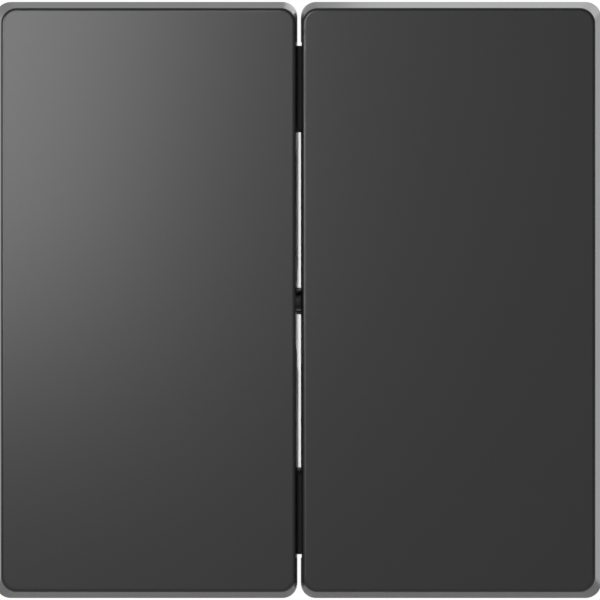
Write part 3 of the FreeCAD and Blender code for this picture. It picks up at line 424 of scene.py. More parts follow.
@dataclass(frozen=True)
class WorkedMetal(Finish):
    """A rolled, drawn, turned or stamped metal with its lines, and the patches of its plating or oxide."""

    SHINE: ClassVar[float] = 1.0

    patch: Colour
    lay: Lay
    lines: float = 4000.0
    _: KW_ONLY
    gloss_spread: float = 0.07
    relief: float = 1.5e-6
    edge: float = 0.08 * MM
    # edges painted lighter, partly as wear and partly as a painted highlight
    wear_and_highlight: float = 1.18
    patches: float = 90.0

    def _depth(self) -> dict[str, float]:
        """A metal all through."""
        return {"Metallic": 1.0}

    def _surface(self, tree: Tree, effects: Effects, where: Socket) -> tuple[Socket, Socket, Socket]:
        """Draw the lines along the lay, and lay the patches.

        Args:
            tree: the material's tree.
            effects: the shared groups.
            where: the coordinates to read.

        Returns:
            The colour, the height of the relief and the mask of the gloss.
        """
        drawn = tree.add("ShaderNodeMapping", {"Vector": where, "Scale": self.lay.value}).outputs["Vector"]
        lines = tree.effect(effects.lines, {"Vector": drawn, "Size": self.lines})
        haze = tree.effect(effects.haze, {"Vector": where, "Size": self.patches})
        return tree.blend(haze["Mask"], self.colour, self.patch), lines["Height"], lines["Mask"]


class Finishes:
    """Every finish of the switch, made once and kept by its material slot."""

    KINDS: tuple[Finish, ...] = (
        MouldedPlastic(
            "rocker_plastic",
            (0.0100, 0.0100, 0.0102),
            0.30,
            grain=11000,
            relief=6e-7,
            mottle=0.012,
            gloss_spread=0.006,
            cloud=35,
            edge=0.0,
        ),
        MouldedPlastic("toggle_plastic", (0.42, 0.42, 0.41), 0.42),
        MouldedPlastic("hood_plastic", (0.86, 0.86, 0.85), 0.38, bleed=0.05),
        MouldedPlastic(
            "socket_plastic",
            (0.56, 0.56, 0.54),
            0.55,
            grain=5200,
            relief=6e-6,
            mottle=0.05,
            gloss_spread=0.05,
        ),
        MouldedPlastic("cap_plastic", (0.27, 0.28, 0.29), 0.44, relief=3e-6),
        MouldedPlastic("lever_plastic", (0.78, 0.20, 0.03), 0.36, relief=3e-6, bleed=0.04),
        MouldedPlastic("plunger_plastic", (0.74, 0.73, 0.66), 0.34, bleed=0.15),
        WorkedMetal("ring_steel", (0.58, 0.60, 0.62), 0.36, (0.52, 0.53, 0.52), Lay.ALONG_Z),
        WorkedMetal("axle_steel", (0.11, 0.11, 0.113), 0.34, (0.08, 0.08, 0.08), Lay.ROUND_X, 9000),
        WorkedMetal("rivet_steel", (0.60, 0.62, 0.64), 0.30, (0.50, 0.51, 0.52), Lay.ROUND_X, 7000),
        WorkedMetal("spring_steel", (0.46, 0.47, 0.49), 0.27, (0.38, 0.37, 0.36), Lay.ALONG_Y, 8000),
        WorkedMetal("terminal_brass", (0.72, 0.50, 0.22), 0.30, (0.60, 0.40, 0.18), Lay.ALONG_Y),
        WorkedMetal("contact_silver", (0.80, 0.79, 0.76), 0.28, (0.66, 0.64, 0.60), Lay.ROUND_X, 9000),
        WorkedMetal("contact_copper", (0.76, 0.38, 0.22), 0.32, (0.58, 0.28, 0.16), Lay.ALONG_Z),
    )

    def __init__(self, effects: Effects) -> None:
        """Make every material."""
        self.materials = {kind.name: kind.material(effects) for kind in self.KINDS}

    def dress(self, piece: bpy.types.Object, slot: str) -> None:
        """Give a piece one finish all over.

        Args:
            piece: the mesh object.
            slot: the finish's name, which is the record's material slot.
        """
        for held in piece.material_slots:
            held.link = "OBJECT"
            held.material = self.materials[slot]
        if not piece.material_slots:
            piece.data.materials.append(self.materials[slot])
        LOG.info("%s wears %s", piece.name, slot)


# ---- modelling by hand


class Work:
    """A piece in hand: a primitive that is shaped step by step with Blender's own operators."""

    SMOOTH_UNDER = math.radians(35)
    WELD = 1e-7
    SOFT_FACETS = 2
    WIRE_SIDES = 12
    TURN_STEPS = 28

    def __init__(self, piece: bpy.types.Object) -> None:
        """Take a piece in hand."""
        self.piece = piece

    @staticmethod
    def _clear() -> None:
        """Leave edit mode with nothing selected."""
        if bpy.context.object and bpy.context.object.mode != "OBJECT":
            bpy.ops.object.mode_set(mode="OBJECT")
        bpy.ops.object.select_all(action="DESELECT")

    @classmethod
    def block(cls, name: str, low: Point, high: Point) -> "Work":
        """Start from a cube brought to its size and place.

        Args:
            name: the piece's name.
            low: its lowest corner.
            high: its highest corner.

        Returns:
            The piece in hand.
        """
        cls._clear()
        bpy.ops.mesh.primitive_cube_add(size=1, location=(Vector(low) + Vector(high)) / 2)
        bpy.context.object.scale = Vector(high) - Vector(low)
        return cls._settle(name)

    @classmethod
    def rod(cls, name: str, centre: Pair, run: Pair, wide: Pair, sides: int = 48) -> "Work":
        """Start from a rod or a taper that runs along Y.

        Args:
            name: the piece's name.
            centre: x and z of its axis.
            run: y of its front and back end.
            wide: radius at its front and back end.
            sides: how many facets go round it.

        Returns:
            The piece in hand.
        """
        cls._clear()
        bpy.ops.mesh.primitive_cone_add(
            vertices=sides,
            radius1=wide[0],
            radius2=wide[1],
            depth=run[1] - run[0],
            location=(centre[0], sum(run) / 2, centre[1]),
            rotation=(-math.pi / 2, 0, 0),
        )
        return cls._settle(name)

    @classmethod
    def coil(cls, name: str, start: Point, radius: float, wire: float, rise: float, turns: float) -> "Work":
        """Start from a circle and wind it into a coil that climbs along Y.

        Args:
            name: the piece's name.
            start: where the coil's axis starts.
            radius: from the axis to the middle of the wire.
            wire: the wire's radius.
            rise: how far it climbs in all.
            turns: how many turns it has.

        Returns:
            The piece in hand.
        """
        cls._clear()
        bpy.ops.mesh.primitive_circle_add(vertices=cls.WIRE_SIDES, radius=wire, fill_type="NOTHING")
        bpy.ops.object.mode_set(mode="EDIT")
        bpy.ops.transform.translate(value=(radius, 0, 0))
        bpy.ops.object.mode_set(mode="OBJECT")
        wound = bpy.context.object.modifiers.new("wind", "SCREW")
        wound.axis = "Y"
        wound.angle = math.tau * turns
        wound.screw_offset = rise
        wound.steps = wound.render_steps = round(cls.TURN_STEPS * turns)
        bpy.ops.object.modifier_apply(modifier=wound.name)
        bpy.context.object.location = start
        work = cls._settle(name)._all()
        bpy.ops.mesh.fill_holes(sides=cls.WIRE_SIDES)
        return work

    @classmethod
    def _settle(cls, name: str) -> "Work":
        """Name the new primitive and put its size and place into its mesh.

        Args:
            name: the piece's name.

        Returns:
            The piece in hand.
        """
        piece = bpy.context.object
        piece.name = name
        piece.data.name = name
        bpy.ops.object.transform_apply(location=True, rotation=True, scale=True)
        return cls(piece)

    def _hold(self) -> None:
        """Make this the only piece selected."""
        self._clear()
        bpy.context.view_layer.objects.active = self.piece
        self.piece.select_set(True)

    def _choose(self, kind: str, parts: Callable[[], Any], wanted: Callable[[Any], bool]) -> "Work":
        """Select parts of the mesh and enter edit mode.

        Args:
            kind: FACE or EDGE.
            parts: gives the mesh's faces or edges.
            wanted: says whether one is to be selected.

        Returns:
            This piece.
        """
        self._hold()
        bpy.ops.object.mode_set(mode="EDIT")
        bpy.ops.mesh.select_mode(type=kind)
        bpy.ops.mesh.select_all(action="DESELECT")
        bpy.ops.object.mode_set(mode="OBJECT")
        for part in parts():
            part.select = wanted(part)
        bpy.ops.object.mode_set(mode="EDIT")
        return self

    def _all(self) -> "Work":
        """Select the whole mesh in edit mode."""
        return self.faces(lambda at, facing: True)

    def faces(self, wanted: Callable[[Vector, Vector], bool]) -> "Work":
        """Select the faces whose centre and normal pass a test."""
        mesh = self.piece.data
        return self._choose("FACE", lambda: mesh.polygons, lambda face: wanted(face.center, face.normal))

    def edges(self, wanted: Callable[[Vector, Vector], bool]) -> "Work":
        """Select the edges whose two ends pass a test.

        Args:
            wanted: the test.

        Returns:
            This piece, in edit mode.
        """
        mesh = self.piece.data
        return self._choose(
            "EDGE", lambda: mesh.edges, lambda edge: wanted(*(mesh.vertices[end].co for end in edge.vertices))
        )

    def push(self, move: Point) -> "Work":
        """Extrude what is selected."""
        bpy.ops.mesh.extrude_region_move(TRANSFORM_OT_translate={"value": move})
        return self

    def turn(self, by: float, centre: Point, steps: int) -> "Work":
        """Extrude what is selected by an angle round a line that runs along X, from +Y towards +Z."""
        bpy.ops.mesh.spin(steps=steps, angle=-by, center=centre, axis=(1, 0, 0))
        return self

    def inset(self, by: float) -> "Work":
        """Inset the selected faces."""
        bpy.ops.mesh.inset(thickness=by)
        return self

    def ease(self, width: float, segments: int = 3) -> "Work":
        """Round the selected edges."""
        bpy.ops.mesh.bevel(offset=width, segments=segments, affect="EDGES")
        return self

    def split(self, place: Point, normal: Point) -> "Work":
        """Cut the whole mesh along a plane without taking anything away.

        Args:
            place: a point on the plane.
            normal: the plane's normal.

        Returns:
            This piece.
        """
        self._all()
        bpy.ops.mesh.bisect(plane_co=place, plane_no=normal)
        return self

    def cut(self, tool: "Work") -> "Work":
        """Take another piece's volume out of this one, and throw the other away.

        Args:
            tool: the other piece.

        Returns:
            This piece.
        """
        self._hold()
        taken = self.piece.modifiers.new("cut", "BOOLEAN")
        taken.operation = "DIFFERENCE"
        taken.solver = "EXACT"
        taken.object = tool.piece
        bpy.ops.object.modifier_apply(modifier=taken.name)
        bpy.data.objects.remove(tool.piece)
        return self

    def soften(self, width: float, over: float = 50.0) -> "Work":
        """Round every sharp edge.

        Args:
            width: how far the rounding reaches.
            over: the angle, in degrees, past which an edge counts as sharp.

        Returns:
            This piece.
        """
        self._hold()
        eased = self.piece.modifiers.new("ease", "BEVEL")
        eased.width = width
        eased.segments = self.SOFT_FACETS
        eased.limit_method = "ANGLE"
        eased.angle_limit = math.radians(over)
        bpy.ops.object.modifier_apply(modifier=eased.name)
        return self

    def copy(self, name: str, move: Vector) -> "Work":
        """A copy with its own mesh, moved.

        Args:
            name: the copy's name.
            move: how far it is moved.

        Returns:
            The copy in hand.
        """
        self._hold()
        bpy.ops.object.duplicate()
        bpy.ops.transform.translate(value=move)
        return self._settle(name)

    def done(self) -> "Work":
        """Turn every face outwards, smooth the shallow edges and leave edit mode.

        Returns:
            This piece.
        """
        self._all()
        bpy.ops.mesh.remove_doubles(threshold=self.WELD)
        bpy.ops.mesh.normals_make_consistent(inside=False)
        bpy.ops.object.mode_set(mode="OBJECT")
        bpy.ops.object.shade_smooth_by_angle(angle=self.SMOOTH_UNDER)
        return self


def near(value: float, wanted: float) -> bool:
    """Whether two lengths agree within a micrometre."""
    return abs(value - wanted) < MM / 1000


# ---- sub-assemblies


@dataclass(frozen=True)
class Flex:
    """How a spring would give: its own body, the start before which it stays with it and the end after which
    it follows another body. The script stores these but moves nothing by them.
    """

    body: str
    start: Vector
    end: Vector


@dataclass
class SubAssembly:
    """A group of nodes that are dressed together."""

    WEARS: ClassVar[dict[str, tuple[str, ...]]]

    nodes: dict[str, bpy.types.Object]
    finishes: Finishes

    def node(self, part: str) -> str:
        """The name of the node that is one part of this group."""
        return part

    def build(self) -> None:
        """Model the group's own pieces, where it has any."""

    def dress(self) -> None:
        """Give every node of the group its finish."""
        for slot, parts in self.WEARS.items():
            for part in parts:
                self.finishes.dress(self.nodes[self.node(part)], slot)

    def fit(self, work: Work, body: str, slot: str, node: str = "", flex: Flex | None = None) -> None:
        """Hand a finished piece over to the body that carries it; a spring is instead fixed in place where it
        was modelled.

        Args:
            work: the piece.
            body: the body it moves with.
            slot: its finish.
            node: the node it stands for, if it stands for one.
            flex: what presses the far end of a spring; only whether it is given is read.
        """
        if flex:
            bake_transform(work.piece)
        else:
            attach(work.piece, body)
        self.finishes.dress(work.piece, slot)
        if node:
            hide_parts(node)
        LOG.info("%s has %d faces and rides on %s", work.piece.name, len(work.piece.data.polygons), body)


@dataclass
class GangAssembly(SubAssembly):
    """A sub-assembly that each gang has, so that its own pieces are modelled once and copied."""

    side: Side = Side.LEFT
    patterns: dict[str, tuple[Work, Vector]] = field(default_factory=dict)

    def node(self, part: str) -> str:
        """The name of the node that is one part of this gang."""
        return f"{self.side.value}_{part}"

    def repeat(self, pattern: str, node: str, ending: str, model: Callable[[str], Work]) -> Work:
        """Copy a piece that has been modelled before, or model it now and keep it as the pattern.

        Args:
            pattern: what the piece is kept under.
            node: the node that it stands for.
            ending: what its name adds to the node's.
            model: models the piece under a name.

        Returns:
            The piece in hand.
        """
        name, middle = f"{node}_{ending}", sum(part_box(node), Vector()) / 2
        if pattern not in self.patterns:
            self.patterns[pattern] = (model(name), middle)
            return self.patterns[pattern][0]
        made, old_middle = self.patterns[pattern]
        return made.copy(name, middle - old_middle)


@dataclass
class RockerPair(SubAssembly):
    """The two rocker covers."""

    WEARS = {"rocker_plastic": ("left_rocker", "right_rocker")}


@dataclass(frozen=True)
class RoundMark:
    """A low round mark: its radius at root and top, its height, the step of its middle and its rounding."""

    wide: Pair
    proud: float
    step: float
    edge: float
    sides: int


@dataclass
class Insert(SubAssembly):
    """The fixed insert: ring, hood, axle, rivets and socket, with the marks of moulding on the socket's back.

    The places of marks are x and z in millimetres.
    """

    WEARS = {
        "ring_steel": ("support_ring",),
        "hood_plastic": ("hood",),
        "axle_steel": ("axle",),
        "socket_plastic": ("socket",),
        "rivet_steel": ("socket_rivet_1", "socket_rivet_2", "socket_rivet_3", "socket_rivet_4"),
    }

    pin: RoundMark = RoundMark((1.5 * MM, 1.5 * MM), 0.07 * MM, -0.056 * MM, 0.03 * MM, 48)
    pin_corners: tuple[Pair, ...] = ((18.2, 13.0), (-18.2, 13.0), (18.2, -13.0), (-18.2, -13.0))
    pin_middles: tuple[Pair, ...] = ((0.0, 16.4), (0.0, -16.4))
    gate: RoundMark = RoundMark((0.85 * MM, 0.55 * MM), 0.14 * MM, 0.07 * MM, 0.04 * MM, 32)
    gate_place: Pair = (0.0, 10.6)
    mark_rim: float = 0.22 * MM
    mark_root: float = 0.10 * MM
    gauge_long: float = 11.0 * MM
    gauge_wide: float = 1.1 * MM
    gauge_end: float = 3.0 * MM
    gauge_proud: float = 0.25 * MM
    gauge_rim: float = 0.18 * MM
    gauge_sunk: float = 0.10 * MM
    gauge_edge: float = 0.05 * MM

    def build(self) -> None:
        """Raise the ejector marks, the gate's stub and the strip gauge on the socket's back."""
        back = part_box("socket")[1].y
        start, *others = self.pin_corners + self.pin_middles
        marks = [self._mark("socket_pin_mark_1", self.pin, start, back)]
        for count, place in enumerate(others, start=2):
            move = Vector((place[0] - start[0], 0, place[1] - start[1])) * MM
            marks.append(marks[0].copy(f"socket_pin_mark_{count}", move))
        stub = self._mark("socket_gate_stub", self.gate, self.gate_place, back)
        for mark in (*marks, stub, self._strip_gauge(back)):
            self.fit(mark, "insert", "socket_plastic")

    def _mark(self, name: str, kind: RoundMark, place: Pair, back: float) -> Work:
        """Raise the ring of an ejector pin, or the stub where the mould's gate was broken off.

        Args:
            name: the mark's name.
            kind: its sizes.
            place: where it stands.
            back: y of the socket's back.

        Returns:
            The mark in hand.
        """
        top = back + kind.proud
        centre = (place[0] * MM, place[1] * MM)
        mark = Work.rod(name, centre, (back - self.mark_root, top), kind.wide, kind.sides)
        mark.faces(lambda at, facing: near(at.y, top)).inset(self.mark_rim)
        return mark.push((0, kind.step, 0)).soften(kind.edge).done()

    def _strip_gauge(self, back: float) -> Work:
        """The raised bar that shows how long a wire is stripped, with a stop across each end.

        Args:
            back: y of the socket's back.

        Returns:
            The bar in hand.
        """
        half, end = self.gauge_wide / 2, self.gauge_end / 2
        low, high = -self.gauge_long / 2, self.gauge_long / 2
        top = back + self.gauge_proud
        bar = Work.block("socket_strip_gauge", (-half, back - self.mark_root, low), (half, top, high))
        bar.split((0, 0, low + self.gauge_wide), (0, 0, 1)).split((0, 0, high - self.gauge_wide), (0, 0, 1))
        for way in (-1, 1):
            bar.faces(lambda at, facing: facing.x * way > SQUARE and abs(at.z) > high - self.gauge_wide)
            bar.push((way * (end - half), 0, 0))
        bar.faces(lambda at, facing: facing.y > SQUARE).inset(self.gauge_rim)
        return bar.push((0, -self.gauge_sunk, 0)).soften(self.gauge_edge).done()


@dataclass
class SnapDrive(GangAssembly):
    """A gang's toggle with its plunger, and the spring that is wound here."""

    WEARS = {
        "toggle_plastic": ("toggle",),
        "plunger_plastic": ("plunger",),
        "spring_steel": ("plunger_spring",),
    }

    wire: float = 0.2 * MM
    turns: float = 3.25

    def build(self) -> None:
        """Wind the spring inside its node's box."""
        node = self.node("plunger_spring")
        low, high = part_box(node)
        start = Vector(((low.x + high.x) / 2, low.y + self.wire, (low.z + high.z) / 2))
        end = Vector((start.x, high.y - self.wire, start.z))
        coil = self.repeat("coil", node, "coil", partial(self._coil, start, end.y, (high.z - low.z) / 2))
        self.fit(coil, self.node("gang"), "spring_steel", node, Flex(self.node("plunger"), start, end))

    def _coil(self, start: Vector, end: float, reach: float, title: str) -> Work:
        """Wind the wire from the coil's start to another y, inside its outer radius."""
        return Work.coil(title, start, reach - self.wire, self.wire, end - start.y, self.turns).done()


@dataclass
class ContactDeck(GangAssembly):
    """A gang's see-saw contact, its terminals and their silver tips."""

    WEARS = {
        "contact_copper": ("seesaw_contact",),
        "terminal_brass": ("common_terminal", "top_traveller", "bottom_traveller"),
        "contact_silver": ("top_fixed_tip", "top_moving_tip", "bottom_fixed_tip", "bottom_moving_tip"),
    }


@dataclass
class ClampBank(GangAssembly):
    """A gang's three push-in clamps: the springs, caps and release levers are modelled here."""

    WEARS = {
        "spring_steel": ("top_clamp_spring", "common_clamp_spring", "bottom_clamp_spring"),
        "cap_plastic": ("top_terminal_cap", "common_terminal_cap", "bottom_terminal_cap"),
        "lever_plastic": ("top_release_lever", "common_release_lever", "bottom_release_lever"),
    }

    entries: dict[str, Vector] = field(default_factory=dict)
    lid_round: float = 0.8 * MM
    lid_facets: int = 5
    lid_edge: float = 0.32 * MM
    plug_inset: float = 0.9 * MM
    bore: float = 1.8 * MM
    mouth: float = 0.32 * MM
    mouth_deep: float = 0.45 * MM
    mouth_start: float = 1.6
    window_gap: float = 0.1 * MM
    window_step: float = 0.22 * MM
    dish_deep: float = 0.16 * MM
    dish_edge: float = 0.75 * MM
    dish_side: float = 1.6
    dish_round: float = 0.4 * MM
    dish_facets: int = 4
    lever_lip: float = 0.5 * MM
    lip_thick: float = 0.45 * MM
    lip_gap: float = 0.08 * MM
    blade_wide: float = 0.6 * MM
    groove_wide: float = 0.26 * MM
    groove_deep: float = 0.16 * MM
    grooves: tuple[float, ...] = (-0.78 * MM, 0.0, 0.78 * MM)
    lever_edge: float = 0.05 * MM
    strip_thick: float = 0.4 * MM
    strip_bend: float = 1.2 * MM
    strip_facets: tuple[int, int] = (8, 6)
    strip_mouth: float = 0.7 * MM
    strip_lean: float = math.radians(53.5)
    strip_reach: tuple[float, ...] = (0.24 * MM,) * 6 + (4.78 * MM,)
    strip_edge: float = 0.06 * MM
    flex_from: float = 1.6 * MM
    flex_to: float = 3.25 * MM

    def build(self) -> None:
        """Model the caps, levers and springs of the first gang, and copy them for the other."""
        for role in Role:
            name = self.node(role.value)
            cap_node, lever_node = f"{name}_terminal_cap", f"{name}_release_lever"
            model = partial(self._cap, name, cap_node, lever_node)
            cap = self.repeat(f"{role.value}_cap", cap_node, "moulding", model)
            self.fit(cap, "insert", "cap_plastic", cap_node)
            model = partial(self._lever, cap_node, lever_node)
            lever = self.repeat("lever", lever_node, "moulding", model)
            self.fit(lever, f"{name}_lever", "lever_plastic", lever_node)
            self._fit_spring(name, -1 if role is Role.BOTTOM else 1)

    def _fit_spring(self, name: str, way: int) -> None:
        """Fit a clamp spring beside the lever that presses it.

        Args:
            name: gang and terminal.
            way: 1 if the gripping leg leans upwards from the fixed one, and -1 if downwards.
        """
        node = f"{name}_clamp_spring"
        low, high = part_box(node)
        fixed = low.z if way > 0 else high.z
        strip = self.repeat(f"strip_{way}", node, "strip", partial(self._spring, low, high, way))
        start, end = (Vector((low.x, high.y, fixed + way * flex)) for flex in (self.flex_from, self.flex_to))
        self.fit(strip, "insert", "spring_steel", node, Flex(f"{name}_lever", start, end))

    def _spring(self, low: Vector, high: Vector, way: int, title: str) -> Work:
        """Fold the clamp spring: fixed leg, bend at the mouth and the leg that grips the wire.

        Args:
            low: its lowest corner.
            high: its highest corner.
            way: 1 if the gripping leg leans upwards from the fixed one, and -1 if downwards.
            title: the piece's name.

        Returns:
            The finished spring.
        """
        fixed = low.z if way > 0 else high.z
        back, bend = high.y - self.strip_bend, fixed + way * self.strip_bend
        under, over = sorted((fixed, fixed + way * self.strip_thick))
        leg = Work.block(title, (low.x, low.y, under), (high.x, back, over))
        leg.faces(lambda at, facing: facing.y > SQUARE)
        leg.turn(way * math.pi / 2, (0, back, bend), self.strip_facets[0])
        leg.push((0, 0, way * self.strip_mouth))
        leg.turn(way * self.strip_lean, (0, back, bend + way * self.strip_mouth), self.strip_facets[1])
        for reach in self.strip_reach:
            leg.push((0, -math.sin(self.strip_lean) * reach, way * math.cos(self.strip_lean) * reach))
        return leg.soften(self.strip_edge).done()

    def _cap(self, name: str, cap_node: str, lever_node: str, title: str) -> Work:
        """A terminal cap: a rounded lid on its plug, with a flared wire entry and a stepped lever window.

        Args:
            name: gang and terminal.
            cap_node: the cap's node.
            lever_node: the node of the lever that passes through it.
            title: the piece's name.

        Returns:
            The cap in hand.
        """
        low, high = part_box(cap_node)
        seat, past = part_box("socket")[1].y, high.y + MM
        cap = Work.block(title, (low.x, seat, low.z), high)
        cap.faces(lambda at, facing: facing.y < -SQUARE).inset(self.plug_inset).push((0, low.y - seat, 0))
        cap.edges(lambda a, b: abs(a.y - b.y) > MM and max(a.y, b.y) > seat + MM)
        cap.ease(self.lid_round, self.lid_facets)
        cap.edges(lambda a, b: near(a.y, high.y) and near(b.y, high.y)).ease(self.lid_edge)
        entry = self.entries[name]
        centre = (entry.x, entry.z)
        cap.cut(Work.rod("entry_drill", centre, (low.y - MM, past), (self.bore, self.bore)))
        slope, start = self.mouth / self.mouth_deep, high.y - self.mouth_deep * self.mouth_start
        narrow, wide = (self.bore + slope * (place - high.y + self.mouth_deep) for place in (start, past))
        cap.cut(Work.rod("entry_flare", centre, (start, past), (narrow, wide)))
        lever_low, lever_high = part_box(lever_node)
        left, right = lever_low.x + self.lever_lip, lever_high.x - self.lever_lip
        step = self.window_step
        for gap, start in ((self.window_gap, low.y - MM), (self.window_gap + step, high.y - step)):
            near_corner = (left - gap, start, lever_low.z - gap)
            far_corner = (right + gap, past, lever_high.z + gap)
            cap.cut(Work.block("window_broach", near_corner, far_corner))
        self._dish(cap, low, high, entry.z)
        return cap.done()

    def _dish(self, cap: Work, low: Vector, high: Vector, entry: float) -> None:
        """Sink a shallow panel into the part of a lid that is free of openings.

        Args:
            cap: the cap in hand.
            low: the lid's lowest corner.
            high: the lid's highest corner.
            entry: z of the wire entry.
        """
        reach = self.bore + self.mouth + self.dish_edge
        below, above = (low.z + self.dish_edge, entry - reach), (entry + reach, high.z - self.dish_edge)
        run = max(below, above, key=lambda span: span[1] - span[0])
        if run[1] - run[0] < MM:
            return
        side = self.dish_edge * self.dish_side
        corner = (low.x + side, high.y - self.dish_deep, run[0])
        panel = Work.block("dish_cutter", corner, (high.x - side, high.y + MM, run[1]))
        panel.edges(lambda a, b: abs(a.y - b.y) > MM / 2).ease(self.dish_round, self.dish_facets)
        cap.cut(panel)

    def _lever(self, cap_node: str, lever_node: str, title: str) -> Work:
        """A release lever: a lipped stem with a blade slot and grip grooves in its end.

        Args:
            cap_node: the node of the cap that holds it.
            lever_node: the lever's node.
            title: the piece's name.

        Returns:
            The lever in hand.
        """
        low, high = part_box(lever_node)
        left, right = low.x + self.lever_lip, high.x - self.lever_lip
        middle = (low + high) / 2
        lever = Work.block(title, (left, low.y, low.z), (right, high.y, high.z))
        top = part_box(cap_node)[0].y - self.lip_gap
        under = top - self.lip_thick
        lever.split((0, top, 0), (0, 1, 0)).split((0, under, 0), (0, 1, 0))
        for way in (-1, 1):
            lever.faces(lambda at, facing: facing.x * way > SQUARE and under < at.y < top)
            lever.push((way * self.lever_lip, 0, 0))
        half = self.blade_wide / 2
        for place in (middle.z - half, middle.z + half):
            lever.split((0, 0, place), (0, 0, 1))
        grip = self.groove_wide / 2
        spans = [(middle.x + groove - grip, middle.x + groove + grip) for groove in self.grooves]
        for span in spans:
            for place in span:
                lever.split((place, 0, 0), (1, 0, 0))
        for slot, deep in ((False, self.groove_deep), (True, self.blade_wide)):
            lever.faces(
                lambda at, facing: near(at.y, high.y)
                and (abs(at.z - middle.z) < half) is slot
                and (slot or any(start < at.x < end for start, end in spans))
            )
            lever.push((0, -deep, 0))
        return lever.soften(self.lever_edge, over=60).done()


# ---- studio


@dataclass(frozen=True)
class Card:
    """A rectangle of light that hangs at its place, faces its target and gives its power in watts."""

    name: str
    place: Point
    target: Point
    wide: float
    tall: float
    power: float


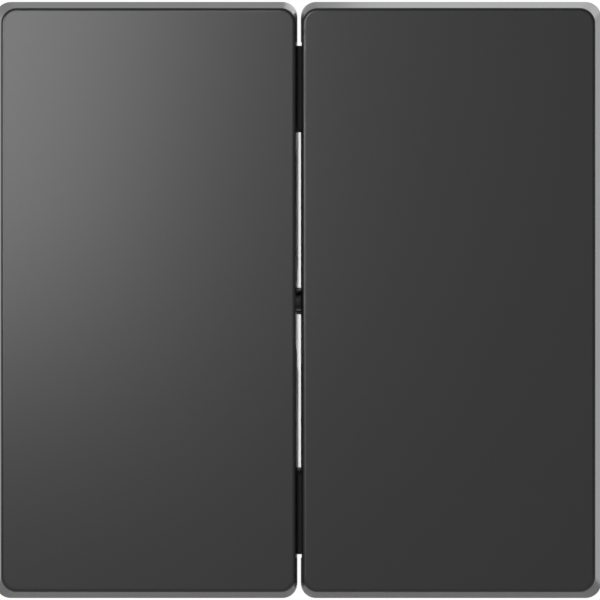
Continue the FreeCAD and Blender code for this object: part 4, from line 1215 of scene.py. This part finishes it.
@dataclass
class Studio:
    """Floor, surroundings, lamps and camera.

    The levels and spans of the room are its brightness, and the part of each direction over which it changes.
    """

    low: Vector
    high: Vector
    lens: float = 1500.0
    sensor: float = 36.0
    clip: Pair = (0.1, 20.0)
    view_wide: float = 69.86 * MM
    view_shift: float = 0.213 * MM
    view_plane: float = -4.8 * MM
    floor_wide: float = 3.0
    floor_drop: float = 100 * MM
    floor_rough: float = 0.8
    floor_seen: Colour = (0.62, 0.62, 0.62)
    floor_lit: Colour = (0.43, 0.43, 0.43)
    side_level: float = 0.08
    back_span: Pair = (0.05, 0.5)
    front_level: float = 0.51
    front_span: Pair = (-0.80, -0.97)
    sky_level: float = 0.62
    sky_span: Pair = (0.04, 0.22)
    far_power: float = 4.1
    far_lift: float = 40.0
    far_left: float = 0.038
    far_spread: float = 4.4

    def build(self) -> None:
        """Put up the whole studio."""
        self._floor()
        self._world()
        self._lamps()
        self._camera()

    def _floor(self) -> None:
        """A plain pale floor well under the switch that takes its shadow."""
        bpy.ops.mesh.primitive_plane_add(size=self.floor_wide, location=(0, 0, self.low.z - self.floor_drop))
        floor = bpy.context.object
        floor.name = "studio_floor"
        pale = bpy.data.materials.new("studio_floor_paint")
        pale.use_nodes = True
        tree = Tree(pale.node_tree)
        seen = tree.add("ShaderNodeLightPath").outputs["Is Camera Ray"]
        colour = tree.blend(seen, self.floor_lit, self.floor_seen)
        shader = tree.add("ShaderNodeBsdfPrincipled", {"Base Color": colour, "Roughness": self.floor_rough})
        tree.end("ShaderNodeOutputMaterial", shader)
        floor.data.materials.append(pale)
        floor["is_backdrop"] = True

    def _world(self) -> None:
        """A white room, bright behind the switch and dimmer in front, that the camera sees as white."""
        world = bpy.data.worlds.new("studio_room")
        world.use_nodes = True
        tree = Tree(world.node_tree)
        where = tree.add("ShaderNodeTexCoord").outputs["Generated"]
        way = tree.add("ShaderNodeSeparateXYZ", {"Vector": where}).outputs
        back = tree.ramp(way["Y"], 0, 1 - self.side_level, self.back_span)
        front = tree.ramp(way["Y"], 0, self.front_level - self.side_level, self.front_span)
        sky = tree.ramp(way["Z"], 1, self.sky_level, self.sky_span)
        graded = tree.maths("ADD", tree.maths("MULTIPLY", back, sky), front)
        path = tree.add("ShaderNodeLightPath").outputs
        seen = tree.maths("MAXIMUM", path["Is Camera Ray"], path["Is Transmission Ray"])
        level = tree.maths("MAXIMUM", seen, tree.maths("ADD", graded, self.side_level))
        room = tree.add("ShaderNodeBackground", {"Color": (1, 1, 1), "Strength": level})
        tree.end("ShaderNodeOutputWorld", room)
        bpy.context.scene.world = world

    def _lamp(self, kind: str, name: str, place: Point, target: Point, power: float) -> bpy.types.Object:
        """Hang one lamp.

        Args:
            kind: AREA or SUN.
            name: its name.
            place: where it hangs.
            target: what it points at.
            power: its power, in watts, or its strength for a sun.

        Returns:
            The lamp object.
        """
        data = bpy.data.lights.new(name, kind)
        data.energy = power
        lamp = bpy.data.objects.new(name, data)
        lamp.location = place
        lamp.rotation_mode = "QUATERNION"
        lamp.rotation_quaternion = (Vector(target) - Vector(place)).to_track_quat("-Z", "Y")
        lamp.visible_camera = False
        bpy.context.scene.collection.objects.link(lamp)
        return lamp

    def _cards(self) -> tuple[Card, ...]:
        """The soft box that grades the faces, the card for the left edges and the one behind the top edge.

        Returns:
            The cards.
        """
        front = -11.4 * MM
        return (
            Card("soft_box", (-0.0425, -0.1438, 0.0451), (0, front, 0), 0.0485, 0.102, 0.100),
            Card("edge_card", (-0.080, -0.070, 0.026), (-0.020, front, 0.026), 0.026, 0.062, 0.042),
            Card("top_card", (0.055, 0.140, 0.072), (0.025, 0, self.high.z), 0.100, 0.045, 0.0125),
        )

    def _lamps(self) -> None:
        """Hang the cards, and a far lamp square to the slit that leaves no highlight."""
        for card in self._cards():
            lamp = self._lamp("AREA", card.name, card.place, card.target, card.power)
            lamp.data.shape = "RECTANGLE"
            lamp.data.size, lamp.data.size_y = card.wide, card.tall
        lift = math.radians(self.far_lift)
        place = (-self.far_left, -math.cos(lift), math.sin(lift))
        far = self._lamp("SUN", "far_lamp", place, (0, 0, 0), self.far_power)
        far.data.angle = math.radians(self.far_spread)
        far.visible_glossy = False

    def _camera(self) -> None:
        """A long lens straight in front."""
        data = bpy.data.cameras.new("front_camera")
        data.lens, data.sensor_width = self.lens, self.sensor
        data.clip_start, data.clip_end = self.clip
        camera = bpy.data.objects.new("front_camera", data)
        away = self.view_wide * self.lens / self.sensor
        camera.location = (self.view_shift, self.view_plane - away, 0)
        camera.rotation_euler = (math.pi / 2, 0, 0)
        bpy.context.scene.collection.objects.link(camera)
        bpy.context.scene.camera = camera


def main() -> None:
    """Load the frame, dress every sub-assembly and put up the studio."""
    logging.basicConfig(level=logging.INFO, format="%(name)s: %(message)s")
    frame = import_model()
    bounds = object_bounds()
    bpy.context.scene.view_settings.view_transform = "Standard"
    finishes = Finishes(Effects())
    nodes = frame["nodes"]
    groups: list[SubAssembly] = [RockerPair(nodes, finishes), Insert(nodes, finishes)]
    ending = "_wire_entry"
    mounts = {mount["name"]: Vector(mount["pos_m"]) for mount in frame["record"]["mounts"]}
    entries = {name.removesuffix(ending): place for name, place in mounts.items() if name.endswith(ending)}
    patterns: dict[str, tuple[Work, Vector]] = {}
    for side in Side:
        groups += [
            SnapDrive(nodes, finishes, side, patterns),
            ContactDeck(nodes, finishes, side, patterns),
            ClampBank(nodes, finishes, side, patterns, entries),
        ]
    for group in groups:
        group.dress()
        group.build()
    Studio(*bounds).build()


if __name__ == "__main__":
    main()
